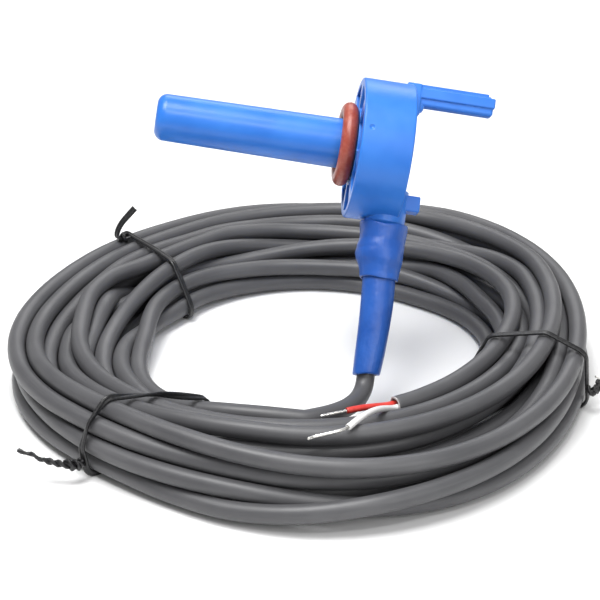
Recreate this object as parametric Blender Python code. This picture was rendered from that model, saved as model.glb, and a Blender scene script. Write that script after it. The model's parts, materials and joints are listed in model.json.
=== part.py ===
"""Insertion sensor with a clamp head, a sealing ring and a long coiled two-core lead.

Sizes are in millimetres and are turned into metres where a mesh is made. The head is drawn in its own frame:
X runs along the stem from its closed tip to the rear of the head, Z points away from the cable neck, and the
origin lies on the stem's axis in the plane of the head's front rim.
"""

import math

import bmesh
import bpy
import numpy as np
from mathutils import Matrix, Vector

MM = 0.001

# Offset that puts the middle of the whole object's footprint at the origin, with the coil on the floor.
FRAME_SHIFT = (-1.52, 3.485, 0.0)

# Placing of the head: where its origin is, and how it leans over the coil.
HEAD_ORIGIN = (13.2, 5.4, 57.3)
HEAD_YAW = 0.8
HEAD_PITCH = 9.3
HEAD_ROLL = -35.0

# Stem and the ring on it.
STEM_LENGTH = 49.2
STEM_TIP_RADIUS = 5.75
STEM_ROOT_RADIUS = 6.2
STEM_TIP_FILLET = 2.4
SEAT_RADIUS = 7.6
BORE_RADIUS = 3.9
BORE_DEPTH = 47.2
RING_SECTION = 1.95
RING_CLEARANCE = 0.35
RING_STATION = -2.1

# Clamp barrel behind the ring.
BARREL_RADIUS = 17.4
BARREL_LENGTH = 12.8
BARREL_DROP = 0.5
BARREL_WALL = 1.7
BOSS_RADIUS = 9.4
POCKET_DEPTH = 9.2
NECK_POCKET_DEPTH = 4.2
RIB_WIDTH = 1.5
RIB_ANGLES = (21.4, 63.3, 107.2, 152.1, 203.4, 247.3, 293.7, 337.2)

# Rear arm and nub.
ARM_END = 33.8
ARM_LOW, ARM_STEP, ARM_HIGH = 12.0, 14.2, 16.4
ARM_HALF_DEPTH = 2.9
LEDGE_END = 32.4
LEDGE_TOP = 17.9
NUB_END = 18.0

# Cable neck, sleeves and cable.
NECK_STATION = 10.0
NECK_RADIUS = 5.0
NECK_END = -19.6
SPIGOT_RADIUS = 4.1
SPIGOT_END = -27.5
NECK_BORE_RADIUS = 2.2
SLEEVE_END = -56.4
SLEEVE_BOW = 0.6
CABLE_RADIUS = 2.25
CORE_RADIUS = 0.75
CONDUCTOR_RADIUS = 0.38
GAP = 0.3
FLEX_GAP = 1.2

# Coil: cross-section slots of each turn, as (column from the inside, layer from the floor).
TURN_SLOTS = (
    (-0.5, 1.15), (0.0, 0.0), (1.0, 0.2), (1.5, 1.4), (2.1, 2.6), (2.0, 0.2), (3.0, 0.3), (2.5, 1.6),
    (3.7, 2.0), (4.0, 0.3), (4.5, 1.4), (5.4, 2.5), (6.0, 0.0), (5.9, 1.5), (4.7, 2.9), (1.0, 2.15),
)
COLUMNS = 6.0
# Bundle round the coil: angle, radius of the inmost column, radius of the outmost, stacking factor.
BUNDLE_SHAPE = (
    (-165.0, 45.5, 74.5, 0.60), (-146.0, 53.0, 73.5, 0.80), (-125.0, 54.5, 70.0, 1.00),
    (-105.0, 54.0, 74.0, 1.00), (-85.0, 48.0, 83.5, 1.00), (-70.0, 45.0, 86.0, 1.00),
    (-55.0, 45.0, 84.0, 1.00), (-33.0, 48.5, 71.5, 1.00), (-9.0, 54.0, 68.0, 1.00),
    (12.0, 56.0, 69.5, 1.00), (35.0, 52.0, 80.0, 1.00), (60.0, 43.5, 79.0, 1.05),
    (85.0, 41.5, 74.5, 1.00), (110.0, 46.0, 66.0, 0.85), (135.0, 48.0, 58.0, 0.65),
    (160.0, 46.0, 62.0, 0.45), (178.0, 45.0, 71.0, 0.50),
)
STATIONS = 96
LAYER_PITCH = 4.1
STRAND_SPACING = 4.66
START_ANGLE = -90.0
JACKET_END_ANGLE = -63.0
WANDER_RADIAL = 1.45
WANDER_HEIGHT = 1.5
START_RADIUS = 47.4
START_HEIGHT = 8.0
END_RADIUS = 50.6
END_HEIGHT = 12.0
HOLD_STATIONS = 5.0
LEAD_EASE = (0.0, 2.8, 0.8)
SETTLE_STEPS = 420
SETTLE_PULL = 0.06
HOLD_PULL = 0.5
TIDY_STEPS = 160

# Stripped cores: points of each centre line, the last one being the tip of the bare conductor.
RED_ROUTE = ((16.6, -47.6, 13.4), (10.7, -50.0, 13.2), (4.6, -52.2, 13.0))
WHITE_ROUTE = ((17.5, -57.0, 19.4), (10.6, -69.0, 19.9), (1.6, -73.2, 19.3))
CORE_OFFSET = 0.95

# Ties: angle round the coil, skew of the band (distance along the coil for each unit outwards), angle of the
# knot in the loop (0 is outwards, 90 is up), and the tail's points outwards, along the coil and up from the knot.
TIES = {
    "tie_left_rear": (137.0, -0.15, 38.0, ((1.6, 1.6, 0.8), (1.6, 1.2, 3.6), (-1.4, -3.6, 9.0))),
    "tie_left_front": (233.0, -0.6, -14.0, ((2.8, -0.6, 0.3), (5.8, -4.5, 1.0), (9.4, -12.0, 3.0))),
    "tie_right": (-20.5, 0.0, 4.0, ((1.2, -0.8, 0.6), (2.8, -0.6, 1.6), (3.4, 1.4, 3.4))),
}
TIE_PIVOT = 62.0
WIRE_CURL = ((0.6, 2.2, -1.0), (1.6, 4.0, -2.6), (3.2, 3.6, -3.8), (3.8, 1.8, -2.4), (2.4, 1.4, -0.8))
WIRE_RADIUS = 0.28
STRIP_SECTION = (
    (-1.0, -0.4), (-0.6, -1.0), (0.6, -1.0), (1.0, -0.4), (1.0, 0.4), (0.6, 1.0), (-0.6, 1.0), (-1.0, 0.4),
)
TIE_HALF_WIDTH = 0.75
TIE_HALF_THICKNESS = 0.4
TIE_SLACK = 0.45
TIE_SPREAD = 26.0


# ---------------------------------------------------------------- helpers

def clear_scene():
    for obj in list(bpy.data.objects):
        bpy.data.objects.remove(obj, do_unlink=True)


def make_material(name, colour, roughness, metallic=0.0):
    material = bpy.data.materials.new(name)
    material.use_nodes = True
    shader = material.node_tree.nodes["Principled BSDF"]
    shader.inputs["Base Color"].default_value = (*colour, 1.0)
    shader.inputs["Roughness"].default_value = roughness
    shader.inputs["Metallic"].default_value = metallic
    material.diffuse_color = (*colour, 1.0)
    return material


def mesh_object(name, points, faces, material=None, parent=None, smooth=True):
    """An object from points in millimetres, with its faces turned outwards."""
    mesh = bpy.data.meshes.new(name)
    mesh.from_pydata([tuple(MM * c for c in p) for p in points], [], [tuple(f) for f in faces])
    shape = bmesh.new()
    shape.from_mesh(mesh)
    bmesh.ops.recalc_face_normals(shape, faces=shape.faces)
    shape.to_mesh(mesh)
    shape.free()
    for polygon in mesh.polygons:
        polygon.use_smooth = smooth
    obj = bpy.data.objects.new(name, mesh)
    bpy.context.scene.collection.objects.link(obj)
    if material:
        mesh.materials.append(material)
    if parent:
        obj.parent = parent
    return obj


def ring_faces(count, sides, closed=False):
    """Faces of a tube of `count` rings, with end caps unless the tube closes on itself."""
    faces = []
    for i in range(count if closed else count - 1):
        near, far = i * sides, (i + 1) % count * sides
        for j in range(sides):
            k = (j + 1) % sides
            faces.append((near + j, near + k, far + k, far + j))
    if not closed:
        faces.append(tuple(range(sides))[::-1])
        faces.append(tuple((count - 1) * sides + j for j in range(sides)))
    return faces


def unit(rows):
    return rows / np.linalg.norm(rows, axis=1)[:, None]


def path_frames(path):
    """Two unit vectors across the path at each of its points, carried along it without twist."""
    steps = np.diff(path, axis=0)
    ahead = np.vstack([steps, steps[-1:]])
    behind = np.vstack([steps[:1], steps])
    tangent = unit(ahead) + unit(behind)
    tangent = unit(tangent)
    up = np.array((0.0, 0.0, 1.0)) if abs(tangent[0][2]) < 0.8 else np.array((0.0, 1.0, 0.0))
    first = []
    for direction in tangent:
        up = up - direction * (up @ direction)
        up = up / np.linalg.norm(up)
        first.append(up)
    first = np.array(first)
    return first, np.cross(tangent, first)


def circles(first, second, sides):
    """Unit circles across a path, one for each of its points."""
    angles = 2 * math.pi * np.arange(sides) / sides
    return np.cos(angles)[None, :, None] * first[:, None] + np.sin(angles)[None, :, None] * second[:, None]


def round_tube(name, path, radius, sides, material, parent=None):
    """A solid round bar along a path; the radius is one number or one for each point."""
    path = np.asarray(path, float)
    first, second = path_frames(path)
    radii = np.broadcast_to(radius, len(path))
    points = (path[:, None] + radii[:, None, None] * circles(first, second, sides)).reshape(-1, 3)
    return mesh_object(name, points, ring_faces(len(path), sides), material, parent)


def turned(
    name, profile, sides, material=None, parent=None, centre=(0.0, 0.0, 0.0), along="X", phase=0.37,
):
    """A solid of revolution from (station, radius) pairs; a radius of zero closes an end."""
    points, faces, rings = [], [], []
    for station, radius in profile:
        if radius == 0.0:
            rings.append([len(points)])
            points.append((station, 0.0, 0.0))
            continue
        rings.append(list(range(len(points), len(points) + sides)))
        for j in range(sides):
            angle = 2 * math.pi * (j + phase) / sides
            points.append((station, radius * math.cos(angle), radius * math.sin(angle)))
    for near, far in zip(rings, rings[1:]):
        for j in range(sides):
            k = (j + 1) % sides
            corners = [near[j % len(near)], near[k % len(near)], far[k % len(far)], far[j % len(far)]]
            faces.append(tuple(dict.fromkeys(corners)))
    for ring in (rings[0], rings[-1]):
        if len(ring) > 1:
            faces.append(tuple(ring))
    if along == "Z":
        points = [(y, z, x) for x, y, z in points]
    points = [tuple(c + offset for c, offset in zip(p, centre)) for p in points]
    return mesh_object(name, points, faces, material, parent)


def block(name, low, high, bevel=0.0, parent=None):
    """A box between two corners, with its edges rounded."""
    shape = bmesh.new()
    centre = [(a + b) / 2 for a, b in zip(low, high)]
    sides = [b - a for a, b in zip(low, high)]
    bmesh.ops.create_cube(shape, size=1.0, matrix=Matrix.Translation(centre) @ Matrix.Diagonal((*sides, 1.0)))
    if bevel:
        bmesh.ops.bevel(shape, geom=shape.edges[:], offset=bevel, segments=2, profile=0.5, affect="EDGES")
    shape.verts.index_update()
    points = [tuple(v.co) for v in shape.verts]
    faces = [tuple(v.index for v in face.verts) for face in shape.faces]
    shape.free()
    return mesh_object(name, points, faces, parent=parent, smooth=False)


def hide_helper(obj):
    obj.hide_render = True
    obj.display_type = "WIRE"


def combine(target, others, operation):
    """Joins each other solid to the target, or cuts it away."""
    for other in others:
        modifier = target.modifiers.new(f"{operation.lower()} {other.name}", "BOOLEAN")
        modifier.operation = operation
        modifier.solver = "EXACT"
        modifier.object = other
        hide_helper(other)


def bezier(p0, p1, p2, p3, count):
    t = np.linspace(0.0, 1.0, count)[:, None]
    p0, p1, p2, p3 = (np.asarray(p, float) for p in (p0, p1, p2, p3))
    return (1 - t) ** 3 * p0 + 3 * t * (1 - t) ** 2 * p1 + 3 * t ** 2 * (1 - t) * p2 + t ** 3 * p3


# ---------------------------------------------------------------- sensor head

def head_frame():
    """The empty that carries every piece of the head."""
    frame = bpy.data.objects.new("head_frame", None)
    bpy.context.scene.collection.objects.link(frame)
    turn = (
        Matrix.Rotation(math.radians(HEAD_YAW), 4, "Z")
        @ Matrix.Rotation(math.radians(HEAD_PITCH), 4, "Y")
        @ Matrix.Rotation(math.radians(HEAD_ROLL), 4, "X")
    )
    frame.matrix_world = Matrix.Translation(Vector(HEAD_ORIGIN) * MM) @ turn
    return frame


def stem_radius(station):
    """Outside radius of the drafted stem at a station along its axis."""
    share = (station + STEM_LENGTH) / STEM_LENGTH
    return STEM_TIP_RADIUS + (STEM_ROOT_RADIUS - STEM_TIP_RADIUS) * share


def fillet_profile():
    """Rounded closed tip, from the axis out to the stem's side."""
    profile = [(-STEM_LENGTH, 0.0)]
    for i in range(6):
        angle = math.radians(18.0 * i)
        station = -STEM_LENGTH + STEM_TIP_FILLET * (1 - math.cos(angle))
        radius = STEM_TIP_RADIUS - STEM_TIP_FILLET * (1 - math.sin(angle))
        profile.append((station, radius))
    return profile


def make_stem(frame):
    """The stem down to the barrel, with the wider seat that the sealing ring rests against."""
    seat_end = BARREL_LENGTH - 1.9
    profile = fillet_profile()
    profile.append((-1.2, stem_radius(-1.2)))
    profile.append((-0.2, SEAT_RADIUS))
    profile.append((seat_end, SEAT_RADIUS))
    profile.append((seat_end, 0.0))
    return turned("stem_solid", profile, 40, parent=frame)


def make_barrel(frame):
    edge = 0.5
    profile = [
        (0.0, 0.0), (0.0, BARREL_RADIUS - edge), (edge, BARREL_RADIUS),
        (BARREL_LENGTH - edge, BARREL_RADIUS), (BARREL_LENGTH, BARREL_RADIUS - edge), (BARREL_LENGTH, 0.0),
    ]
    return turned("probe_housing", profile, 64, parent=frame, centre=(0.0, 0.0, -BARREL_DROP), phase=0.0)


def pocket(name, start, end, frame):
    """A cutter for one cored pocket: a sector of a ring, open to the front and shallower over the neck."""
    depth = NECK_POCKET_DEPTH if start < 270.0 < end else POCKET_DEPTH
    inner, outer = BOSS_RADIUS, BARREL_RADIUS - BARREL_WALL
    steps = max(3, int((end - start) / 9.0))
    points, faces = [], []
    for i in range(steps + 1):
        angle = math.radians(start + (end - start) * i / steps)
        slack_in = math.degrees(RIB_WIDTH / 2 / inner) * (1 - 2 * i / steps)
        slack_out = math.degrees(RIB_WIDTH / 2 / outer) * (1 - 2 * i / steps)
        for radius, slack in ((inner, slack_in), (outer, slack_out)):
            turn = angle + math.radians(slack)
            for station in (-1.0, depth):
                points.append((station, radius * math.cos(turn), radius * math.sin(turn) - BARREL_DROP))
    for i in range(steps):
        a, b = 4 * i, 4 * (i + 1)
        for near, far in ((0, 1), (1, 3), (3, 2), (2, 0)):
            faces.append((a + near, a + far, b + far, b + near))
    faces.append((0, 1, 3, 2))
    faces.append((4 * steps, 4 * steps + 2, 4 * steps + 3, 4 * steps + 1))
    return mesh_object(name, points, faces, parent=frame, smooth=False)


def make_pockets(frame):
    ends = RIB_ANGLES[1:] + (RIB_ANGLES[0] + 360.0,)
    return [pocket(f"pocket_{i}", start, end, frame) for i, (start, end) in enumerate(zip(RIB_ANGLES, ends))]


def make_arm(frame):
    """Blocks of the rear arm, each starting at its own depth in the barrel so that no two faces coincide."""
    back = BARREL_LENGTH
    depth = ARM_HALF_DEPTH
    root_low = (back - 1.5, -depth - 0.15, 9.4)
    root_high = (back + 2.3, depth + 0.7, LEDGE_TOP - 0.5)
    upper_low = (back - 0.7, -depth, ARM_STEP - 0.4)
    upper_high = (ARM_END, depth - 1.6, ARM_HIGH)
    lower_low = (back - 0.9, -depth + 0.6, ARM_LOW)
    lower_high = (ARM_END - 0.25, depth - 1.8, ARM_STEP + 0.6)
    ledge_low = (back - 1.1, -1.3, ARM_HIGH - 1.0)
    ledge_high = (LEDGE_END, depth + 0.4, LEDGE_TOP)
    return [
        block("arm_root", root_low, root_high, 0.35, frame),
        block("arm_upper", upper_low, upper_high, 0.35, frame),
        block("arm_lower", lower_low, lower_high, 0.7, frame),
        block("arm_ledge", ledge_low, ledge_high, 0.3, frame),
    ]


def make_nub(frame):
    return block("nub", (BARREL_LENGTH - 1.3, -2.6, -15.0), (NUB_END, 1.6, -11.0), 0.4, frame)


def make_neck(frame):
    profile = [
        (SPIGOT_END, 0.0), (SPIGOT_END, SPIGOT_RADIUS - 0.3), (SPIGOT_END + 0.3, SPIGOT_RADIUS),
        (NECK_END, SPIGOT_RADIUS), (NECK_END + 1.0, NECK_RADIUS), (-10.3, NECK_RADIUS + 0.2), (-10.3, 0.0),
    ]
    return turned("neck_solid", profile, 32, parent=frame, centre=(NECK_STATION, 0.0, 0.0), along="Z")


def make_bores(frame):
    chamfer = 0.8
    stem_top = NECK_STATION + 0.6
    stem = [
        (-BORE_DEPTH, 0.0), (-BORE_DEPTH, BORE_RADIUS - chamfer), (-BORE_DEPTH + chamfer, BORE_RADIUS),
        (stem_top, BORE_RADIUS), (stem_top, 0.0),
    ]
    neck_low = SPIGOT_END - 1.0
    neck = [(neck_low, 0.0), (neck_low, NECK_BORE_RADIUS), (0.0, NECK_BORE_RADIUS), (0.0, 0.0)]
    return [
        turned("stem_bore", stem, 24, parent=frame),
        turned("neck_bore", neck, 24, parent=frame, centre=(NECK_STATION, 0.0, 0.0), along="Z"),
    ]


def make_housing(frame, material):
    """The blue moulding: barrel, stem, arm, nub and neck in one piece, cored from the front."""
    housing = make_barrel(frame)
    combine(housing, [make_stem(frame), make_neck(frame), make_nub(frame), *make_arm(frame)], "UNION")
    combine(housing, make_pockets(frame) + make_bores(frame), "DIFFERENCE")
    housing.data.materials.append(material)
    return housing


def make_o_ring(frame, material):
    """The sealing ring, with its origin on the stem's axis."""
    centre_radius = stem_radius(RING_STATION) + RING_SECTION + RING_CLEARANCE
    turns, sides = 40, 14
    points = []
    for i in range(turns):
        around = 2 * math.pi * i / turns
        for j in range(sides):
            angle = 2 * math.pi * j / sides
            station = RING_SECTION * math.sin(angle)
            radius = centre_radius + RING_SECTION * math.cos(angle)
            points.append((station, radius * math.cos(around), radius * math.sin(around)))
    ring = mesh_object("o_ring", points, ring_faces(turns, sides, closed=True), material, frame)
    ring.location = (RING_STATION * MM, 0.0, 0.0)
    return ring


def make_sensing_parts(frame, materials):
    """Bead, its leads, the splices and the ends of the two cores, all inside the stem's bore."""
    bead = [(-46.6, 0.0), (-46.3, 1.2), (-45.2, 2.0), (-42.6, 2.0), (-41.6, 1.2), (-41.3, 0.0)]
    turned("sensing_element", bead, 16, materials["element"], frame)
    for side, offset in (("a", -1.2), ("b", 1.2)):
        inner = -0.55 if offset < 0 else 0.55
        lead = [(-41.0, inner, 0.0), (-36.0, offset, 0.0), (-30.3, offset, 0.0)]
        round_tube(f"element_lead_{side}", lead, 0.25, 8, materials["tin"], frame)
        splice = [(-30.0, offset, 0.0), (-20.0, offset, 0.0)]
        round_tube(f"splice_{side}", splice, 1.0, 12, materials["splice"], frame)
    for colour, offset in (("red", -1.2), ("white", 1.2)):
        straight = [(-19.7, offset, 0.0), (0.0, offset, 0.0)]
        turn_in, turn_out = (6.0, offset, 0.0), (NECK_STATION, offset, -4.0)
        bend = bezier(turn_in, (9.0, offset, 0.0), (NECK_STATION, offset, -1.0), turn_out, 6)
        drop = [(NECK_STATION, offset, SPIGOT_END)]
        path = np.vstack([straight, bend, drop])
        round_tube(f"inner_core_{colour}", path, CORE_RADIUS, 8, materials[colour], frame)


def make_potting(frame, material):
    """Resin across the bore, with a passage for each core."""
    potting = turned(
        "potting", [(-13.0, 0.0), (-13.0, BORE_RADIUS - 0.2), (-5.0, BORE_RADIUS - 0.2), (-5.0, 0.0)], 24,
        parent=frame,
    )
    passages = []
    for colour, offset in (("red", -1.2), ("white", 1.2)):
        path = [(-14.0, offset, 0.0), (-4.0, offset, 0.0)]
        passages.append(round_tube(f"passage_{colour}", path, CORE_RADIUS + 0.15, 8, None, frame))
    combine(potting, passages, "DIFFERENCE")
    potting.data.materials.append(material)
    return potting


# ---------------------------------------------------------------- sleeves and cable at the head

def boot_centre(height):
    """Centre line of the sleeves: straight down from the neck, with a slight bow to the rear."""
    share = min(1.0, max(0.0, (SPIGOT_END - height) / (SPIGOT_END - SLEEVE_END)))
    return NECK_STATION + SLEEVE_BOW * math.sin(math.pi * share)


def sleeve(name, stations, material, frame):
    """A thin shrunk tube from (height, outside radius, inside radius) rows."""
    sides = 28
    points = []
    rows = [(height, outer) for height, outer, _ in stations]
    rows += [(height, inner) for height, _, inner in reversed(stations)]
    for height, radius in rows:
        centre = boot_centre(height)
        for j in range(sides):
            angle = 2 * math.pi * j / sides
            points.append((centre + radius * math.cos(angle), radius * math.sin(angle), height))
    return mesh_object(name, points, ring_faces(len(rows), sides, closed=True), material, frame)


def make_sleeves(frame, material):
    wide = [
        (-18.9, 5.95, 5.3), (-20.2, 5.9, 4.4), (-23.0, 5.6, 4.4), (-25.5, 5.75, 4.4), (-28.0, 5.6, 4.6),
        (-29.8, 5.1, 4.45), (-31.2, 4.85, 4.3), (-32.6, 4.75, 4.3),
    ]
    narrow = [
        (-28.4, 3.9, 2.6), (-30.5, 4.0, 2.6), (-33.0, 4.05, 2.6), (-38.0, 4.05, 2.6), (-45.0, 3.85, 2.6),
        (-51.0, 3.65, 2.6), (SLEEVE_END, 3.35, 2.6),
    ]
    sleeve("neck_sleeve", wide, material, frame)
    sleeve("cable_sleeve", narrow, material, frame)


def make_cable_tail(frame, material):
    """Jacket inside the sleeves and the neck."""
    heights = np.linspace(-27.8, SLEEVE_END, 9)
    path = [(boot_centre(h), 0.0, h) for h in heights]
    return round_tube("cable_tail", path, CABLE_RADIUS, 16, material, frame)


def boot_mouth(frame):
    """Centre of the narrow sleeve's mouth and the direction that the lead leaves it in."""
    local = Vector((boot_centre(SLEEVE_END), 0.0, SLEEVE_END)) * MM
    start = np.array(frame.matrix_world @ local) / MM
    direction = np.array(frame.matrix_world.to_3x3() @ Vector((0.0, 0.0, -1.0)))
    return start, direction


# ---------------------------------------------------------------- coil

def smooth_wander(count, amplitude, seed):
    """A slow, irregular drift along the whole lead."""
    rng = np.random.default_rng(seed)
    turns = np.arange(count) / STATIONS
    drift = np.zeros(count)
    for _ in range(26):
        rate = rng.uniform(0.15, 1.9)
        drift += math.sqrt(2 / 26) * np.sin(2 * math.pi * (rate * turns + rng.uniform()))
    return amplitude * drift


def tie_closeness(angles):
    """One at a tie and zero away from the ties."""
    near = np.zeros_like(angles)
    for tie_angle, *_ in TIES.values():
        away = (angles - tie_angle + 180.0) % 360.0 - 180.0
        near = np.maximum(near, np.exp(-((away / TIE_SPREAD) ** 2)))
    return near


def bundle_shape(angles):
    """Radius of the inmost and outmost column and the stacking factor at each angle round the coil."""
    around, *columns = zip(*BUNDLE_SHAPE)
    return [np.interp(angles, around, column, period=360.0) for column in columns]


def planned_coil():
    """Radius and height of the lead at each station, before the strands are laid against each other."""
    turns = len(TURN_SLOTS)
    count = turns * STATIONS
    share = np.arange(count) / STATIONS
    centres = np.arange(turns) + 0.5
    columns = np.interp(share, centres, [slot[0] for slot in TURN_SLOTS])
    layers = np.interp(share, centres, [slot[1] for slot in TURN_SLOTS])
    inner, outer, stacking = bundle_shape(station_angles(count))
    radius = inner + (outer - inner) * columns / COLUMNS + smooth_wander(count, WANDER_RADIAL, 11)
    height = CABLE_RADIUS + LAYER_PITCH * layers * stacking + smooth_wander(count, WANDER_HEIGHT, 23)
    return radius, height


def station_angles(count):
    return START_ANGLE - 360.0 * np.arange(count) / STATIONS


def smoothed(values, weight):
    inner = 0.5 * (values[:-2] + values[2:])
    result = values.copy()
    result[1:-1] += weight * (inner - values[1:-1])
    return result


def push_apart(radius, height, strength):
    """Moves strands that are too close in each cross-section away from one another."""
    turns = len(TURN_SLOTS)
    r = radius.reshape(turns, STATIONS)
    z = height.reshape(turns, STATIONS)
    dr = r[:, None] - r[None, :]
    dz = z[:, None] - z[None, :]
    distance = np.sqrt(dr * dr + dz * dz) + 1e-9
    short = np.clip(STRAND_SPACING - distance, 0.0, None)
    short[np.arange(turns), np.arange(turns)] = 0.0
    r = r + strength * (short * dr / distance).sum(axis=1)
    z = z + strength * (short * dz / distance).sum(axis=1)
    return r.reshape(-1), z.reshape(-1)


def lay_coil():
    """Radius and height of the lead at each station, with the strands clear of each other and the floor."""
    planned_radius, planned_height = planned_coil()
    near = tie_closeness(station_angles(len(planned_radius)))
    floor = CABLE_RADIUS + 0.05 + (2 * TIE_HALF_THICKNESS + TIE_SLACK) * near
    along = np.arange(len(planned_radius))
    held = (
        (np.exp(-along / HOLD_STATIONS), START_RADIUS, START_HEIGHT),
        (np.exp(-(((along - jacket_end_station()) / 9.0) ** 2)), END_RADIUS, END_HEIGHT),
    )
    radius, height = planned_radius, planned_height
    for _ in range(SETTLE_STEPS):
        radius = radius + SETTLE_PULL * (planned_radius - radius)
        height = height + SETTLE_PULL * (planned_height - height)
        for grip, held_radius, held_height in held:
            radius = radius + HOLD_PULL * grip * (held_radius - radius)
            height = height + HOLD_PULL * grip * (held_height - height)
        radius, height = push_apart(smoothed(radius, 0.5), smoothed(height, 0.5), 0.3)
        height = np.maximum(height, floor)
    for step in range(TIDY_STEPS):
        weight = 0.3 * (1.0 - step / TIDY_STEPS)
        radius = smoothed(radius, weight)
        height = smoothed(height, weight)
        for _ in range(3):
            radius, height = push_apart(radius, height, 0.35)
            height = np.maximum(height, floor)
    return radius, height


def coil_points(radius, height):
    angles = np.radians(station_angles(len(radius)))
    return np.stack([radius * np.cos(angles), radius * np.sin(angles), height], axis=1)


def jacket_end_station():
    """The station where the outer jacket is stripped back, near the end of the last turn."""
    last_turn = (START_ANGLE - JACKET_END_ANGLE) % 360.0
    return (len(TURN_SLOTS) - 1) * STATIONS + round(STATIONS * last_turn / 360.0)


def make_coil(points, material):
    """The grey jacket from the lead's flexing part to the stripped end."""
    end = jacket_end_station()
    path = np.vstack([points[:end:3], points[end]])
    return round_tube("cable_coil", path, CABLE_RADIUS, 6, material)


def make_lead(start, direction, points, material):
    """The bare stretch of jacket between the sleeve and the coil."""
    goal = points[0]
    ahead = points[0] - points[1]
    ahead = ahead / np.linalg.norm(ahead)
    near = start + FLEX_GAP * direction
    far = goal + FLEX_GAP * ahead
    path = bezier(near, start + 7.0 * direction, goal + 11.0 * ahead + np.array(LEAD_EASE), far, 12)
    return round_tube("cable_lead", path, CABLE_RADIUS, 12, material)


# ---------------------------------------------------------------- stripped end

def hollow_tube(name, path, outer, inner, sides, material):
    """An open-ended tube along a path."""
    path = np.asarray(path, float)
    first, second = path_frames(path)
    circle = circles(first, second, sides)
    outside = path[:, None] + outer * circle
    inside = (path[:, None] + inner * circle)[::-1]
    points = np.concatenate([outside, inside]).reshape(-1, 3)
    return mesh_object(name, points, ring_faces(2 * len(path), sides, closed=True), material)


def make_core(colour, points, side, route, materials):
    """One stripped core: coloured insulation, and the bare conductor that runs through it."""
    end = points[jacket_end_station()]
    ahead = points[jacket_end_station()] - points[jacket_end_station() - 1]
    ahead = ahead / np.linalg.norm(ahead)
    across = np.cross(ahead, (0.0, 0.0, 1.0))
    root = end + side * CORE_OFFSET * across + GAP * ahead
    insulated = bezier(root, root + 3.0 * ahead, route[0], route[1], 10)
    heading = insulated[-1] - insulated[-2]
    heading = heading / np.linalg.norm(heading)
    bare = bezier(route[1], route[1] + 3.0 * heading, route[2] - 2.0 * heading, route[2], 5)[1:]
    hollow_tube(f"{colour}_insulation", insulated, CORE_RADIUS, CONDUCTOR_RADIUS + 0.1, 10, materials[colour])
    round_tube(f"{colour}_conductor", np.vstack([insulated, bare]), CONDUCTOR_RADIUS, 8, materials["tin"])


# ---------------------------------------------------------------- ties

def convex_hull(points):
    """Corners of the convex hull, anticlockwise."""
    ordered = sorted(map(tuple, points))
    chains = []
    for sequence in (ordered, ordered[::-1]):
        chain = []
        for p in sequence:
            while len(chain) > 1:
                (ax, ay), (bx, by) = chain[-2], chain[-1]
                if (bx - ax) * (p[1] - ay) - (by - ay) * (p[0] - ax) > 0:
                    break
                chain.pop()
            chain.append(p)
        chains.append(chain[:-1])
    return np.array(chains[0] + chains[1])


def band_angle(angle, skew, radius):
    """Angle round the coil that a tie's band has at this radius."""
    return angle + np.degrees(skew * (radius - TIE_PIVOT) / radius)


def tie_outline(radius, height, angle, skew, count):
    """Evenly spaced (radius, height) points of the loop round the bundle at this angle."""
    index = np.arange(len(radius))
    first = (START_ANGLE - angle) / 360.0 * STATIONS % STATIONS
    straight = first + STATIONS * np.arange(len(TURN_SLOTS))
    stations = straight
    for _ in range(3):
        ahead = angle - band_angle(angle, skew, np.interp(stations, index, radius))
        stations = straight + ahead / 360.0 * STATIONS
    stations = stations[stations < jacket_end_station() - 1]
    centres = np.stack([np.interp(stations, index, radius), np.interp(stations, index, height)], axis=1)
    reach = CABLE_RADIUS + TIE_SLACK + TIE_HALF_THICKNESS
    circle = np.radians(np.arange(0.0, 360.0, 15.0))
    rims = centres[:, None] + reach * np.stack([np.cos(circle), np.sin(circle)], axis=1)[None]
    hull = convex_hull(rims.reshape(-1, 2))
    closed = np.vstack([hull, hull[:1]])
    run = np.concatenate([[0.0], np.cumsum(np.linalg.norm(np.diff(closed, axis=0), axis=1))])
    even = np.linspace(0.0, run[-1], count, endpoint=False)
    return np.stack([np.interp(even, run, closed[:, 0]), np.interp(even, run, closed[:, 1])], axis=1)


def tie_point(angle, outward, along, up):
    """A point near the bundle from its distances out from the coil's axis, round the coil and up."""
    turn = math.radians(angle)
    out = np.array((math.cos(turn), math.sin(turn), 0.0))
    round_coil = np.array((-math.sin(turn), math.cos(turn), 0.0))
    return outward * out + along * round_coil + np.array((0.0, 0.0, up))


def make_loop(name, outline, angle, skew, material):
    """The closed band of a tie: a flat strip with rounded sides, swept round the outline."""
    centre = outline.mean(axis=0)
    ahead = np.roll(outline, -1, axis=0) - np.roll(outline, 1, axis=0)
    normal = np.stack([ahead[:, 1], -ahead[:, 0]], axis=1)
    normal /= np.linalg.norm(normal, axis=1)[:, None]
    normal *= np.sign(((outline - centre) * normal).sum(axis=1))[:, None]
    points = []
    for (r, z), (nr, nz) in zip(outline, normal):
        here = band_angle(angle, skew, r)
        for side, lift in STRIP_SECTION:
            out = lift * TIE_HALF_THICKNESS
            points.append(tie_point(here, r + out * nr, side * TIE_HALF_WIDTH, z + out * nz))
    return mesh_object(name, points, ring_faces(len(outline), 8, closed=True), material)


def make_knot(name, path):
    """Two ends of a tie wound round each other: a two-lobed bar that turns as it runs."""
    path = np.asarray(path, float)
    first, second = path_frames(path)
    sides, points = 10, []
    for i, centre in enumerate(path):
        twist = 1.15 * i
        for j in range(sides):
            angle = 2 * math.pi * j / sides
            reach = 0.62 + 0.42 * math.cos(2 * angle)
            reach *= 0.75 if i == 0 else 1.0
            spoke = math.cos(angle + twist) * first[i] + math.sin(angle + twist) * second[i]
            points.append(centre + reach * spoke)
    return mesh_object(name, points, ring_faces(len(path), sides))


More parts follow.
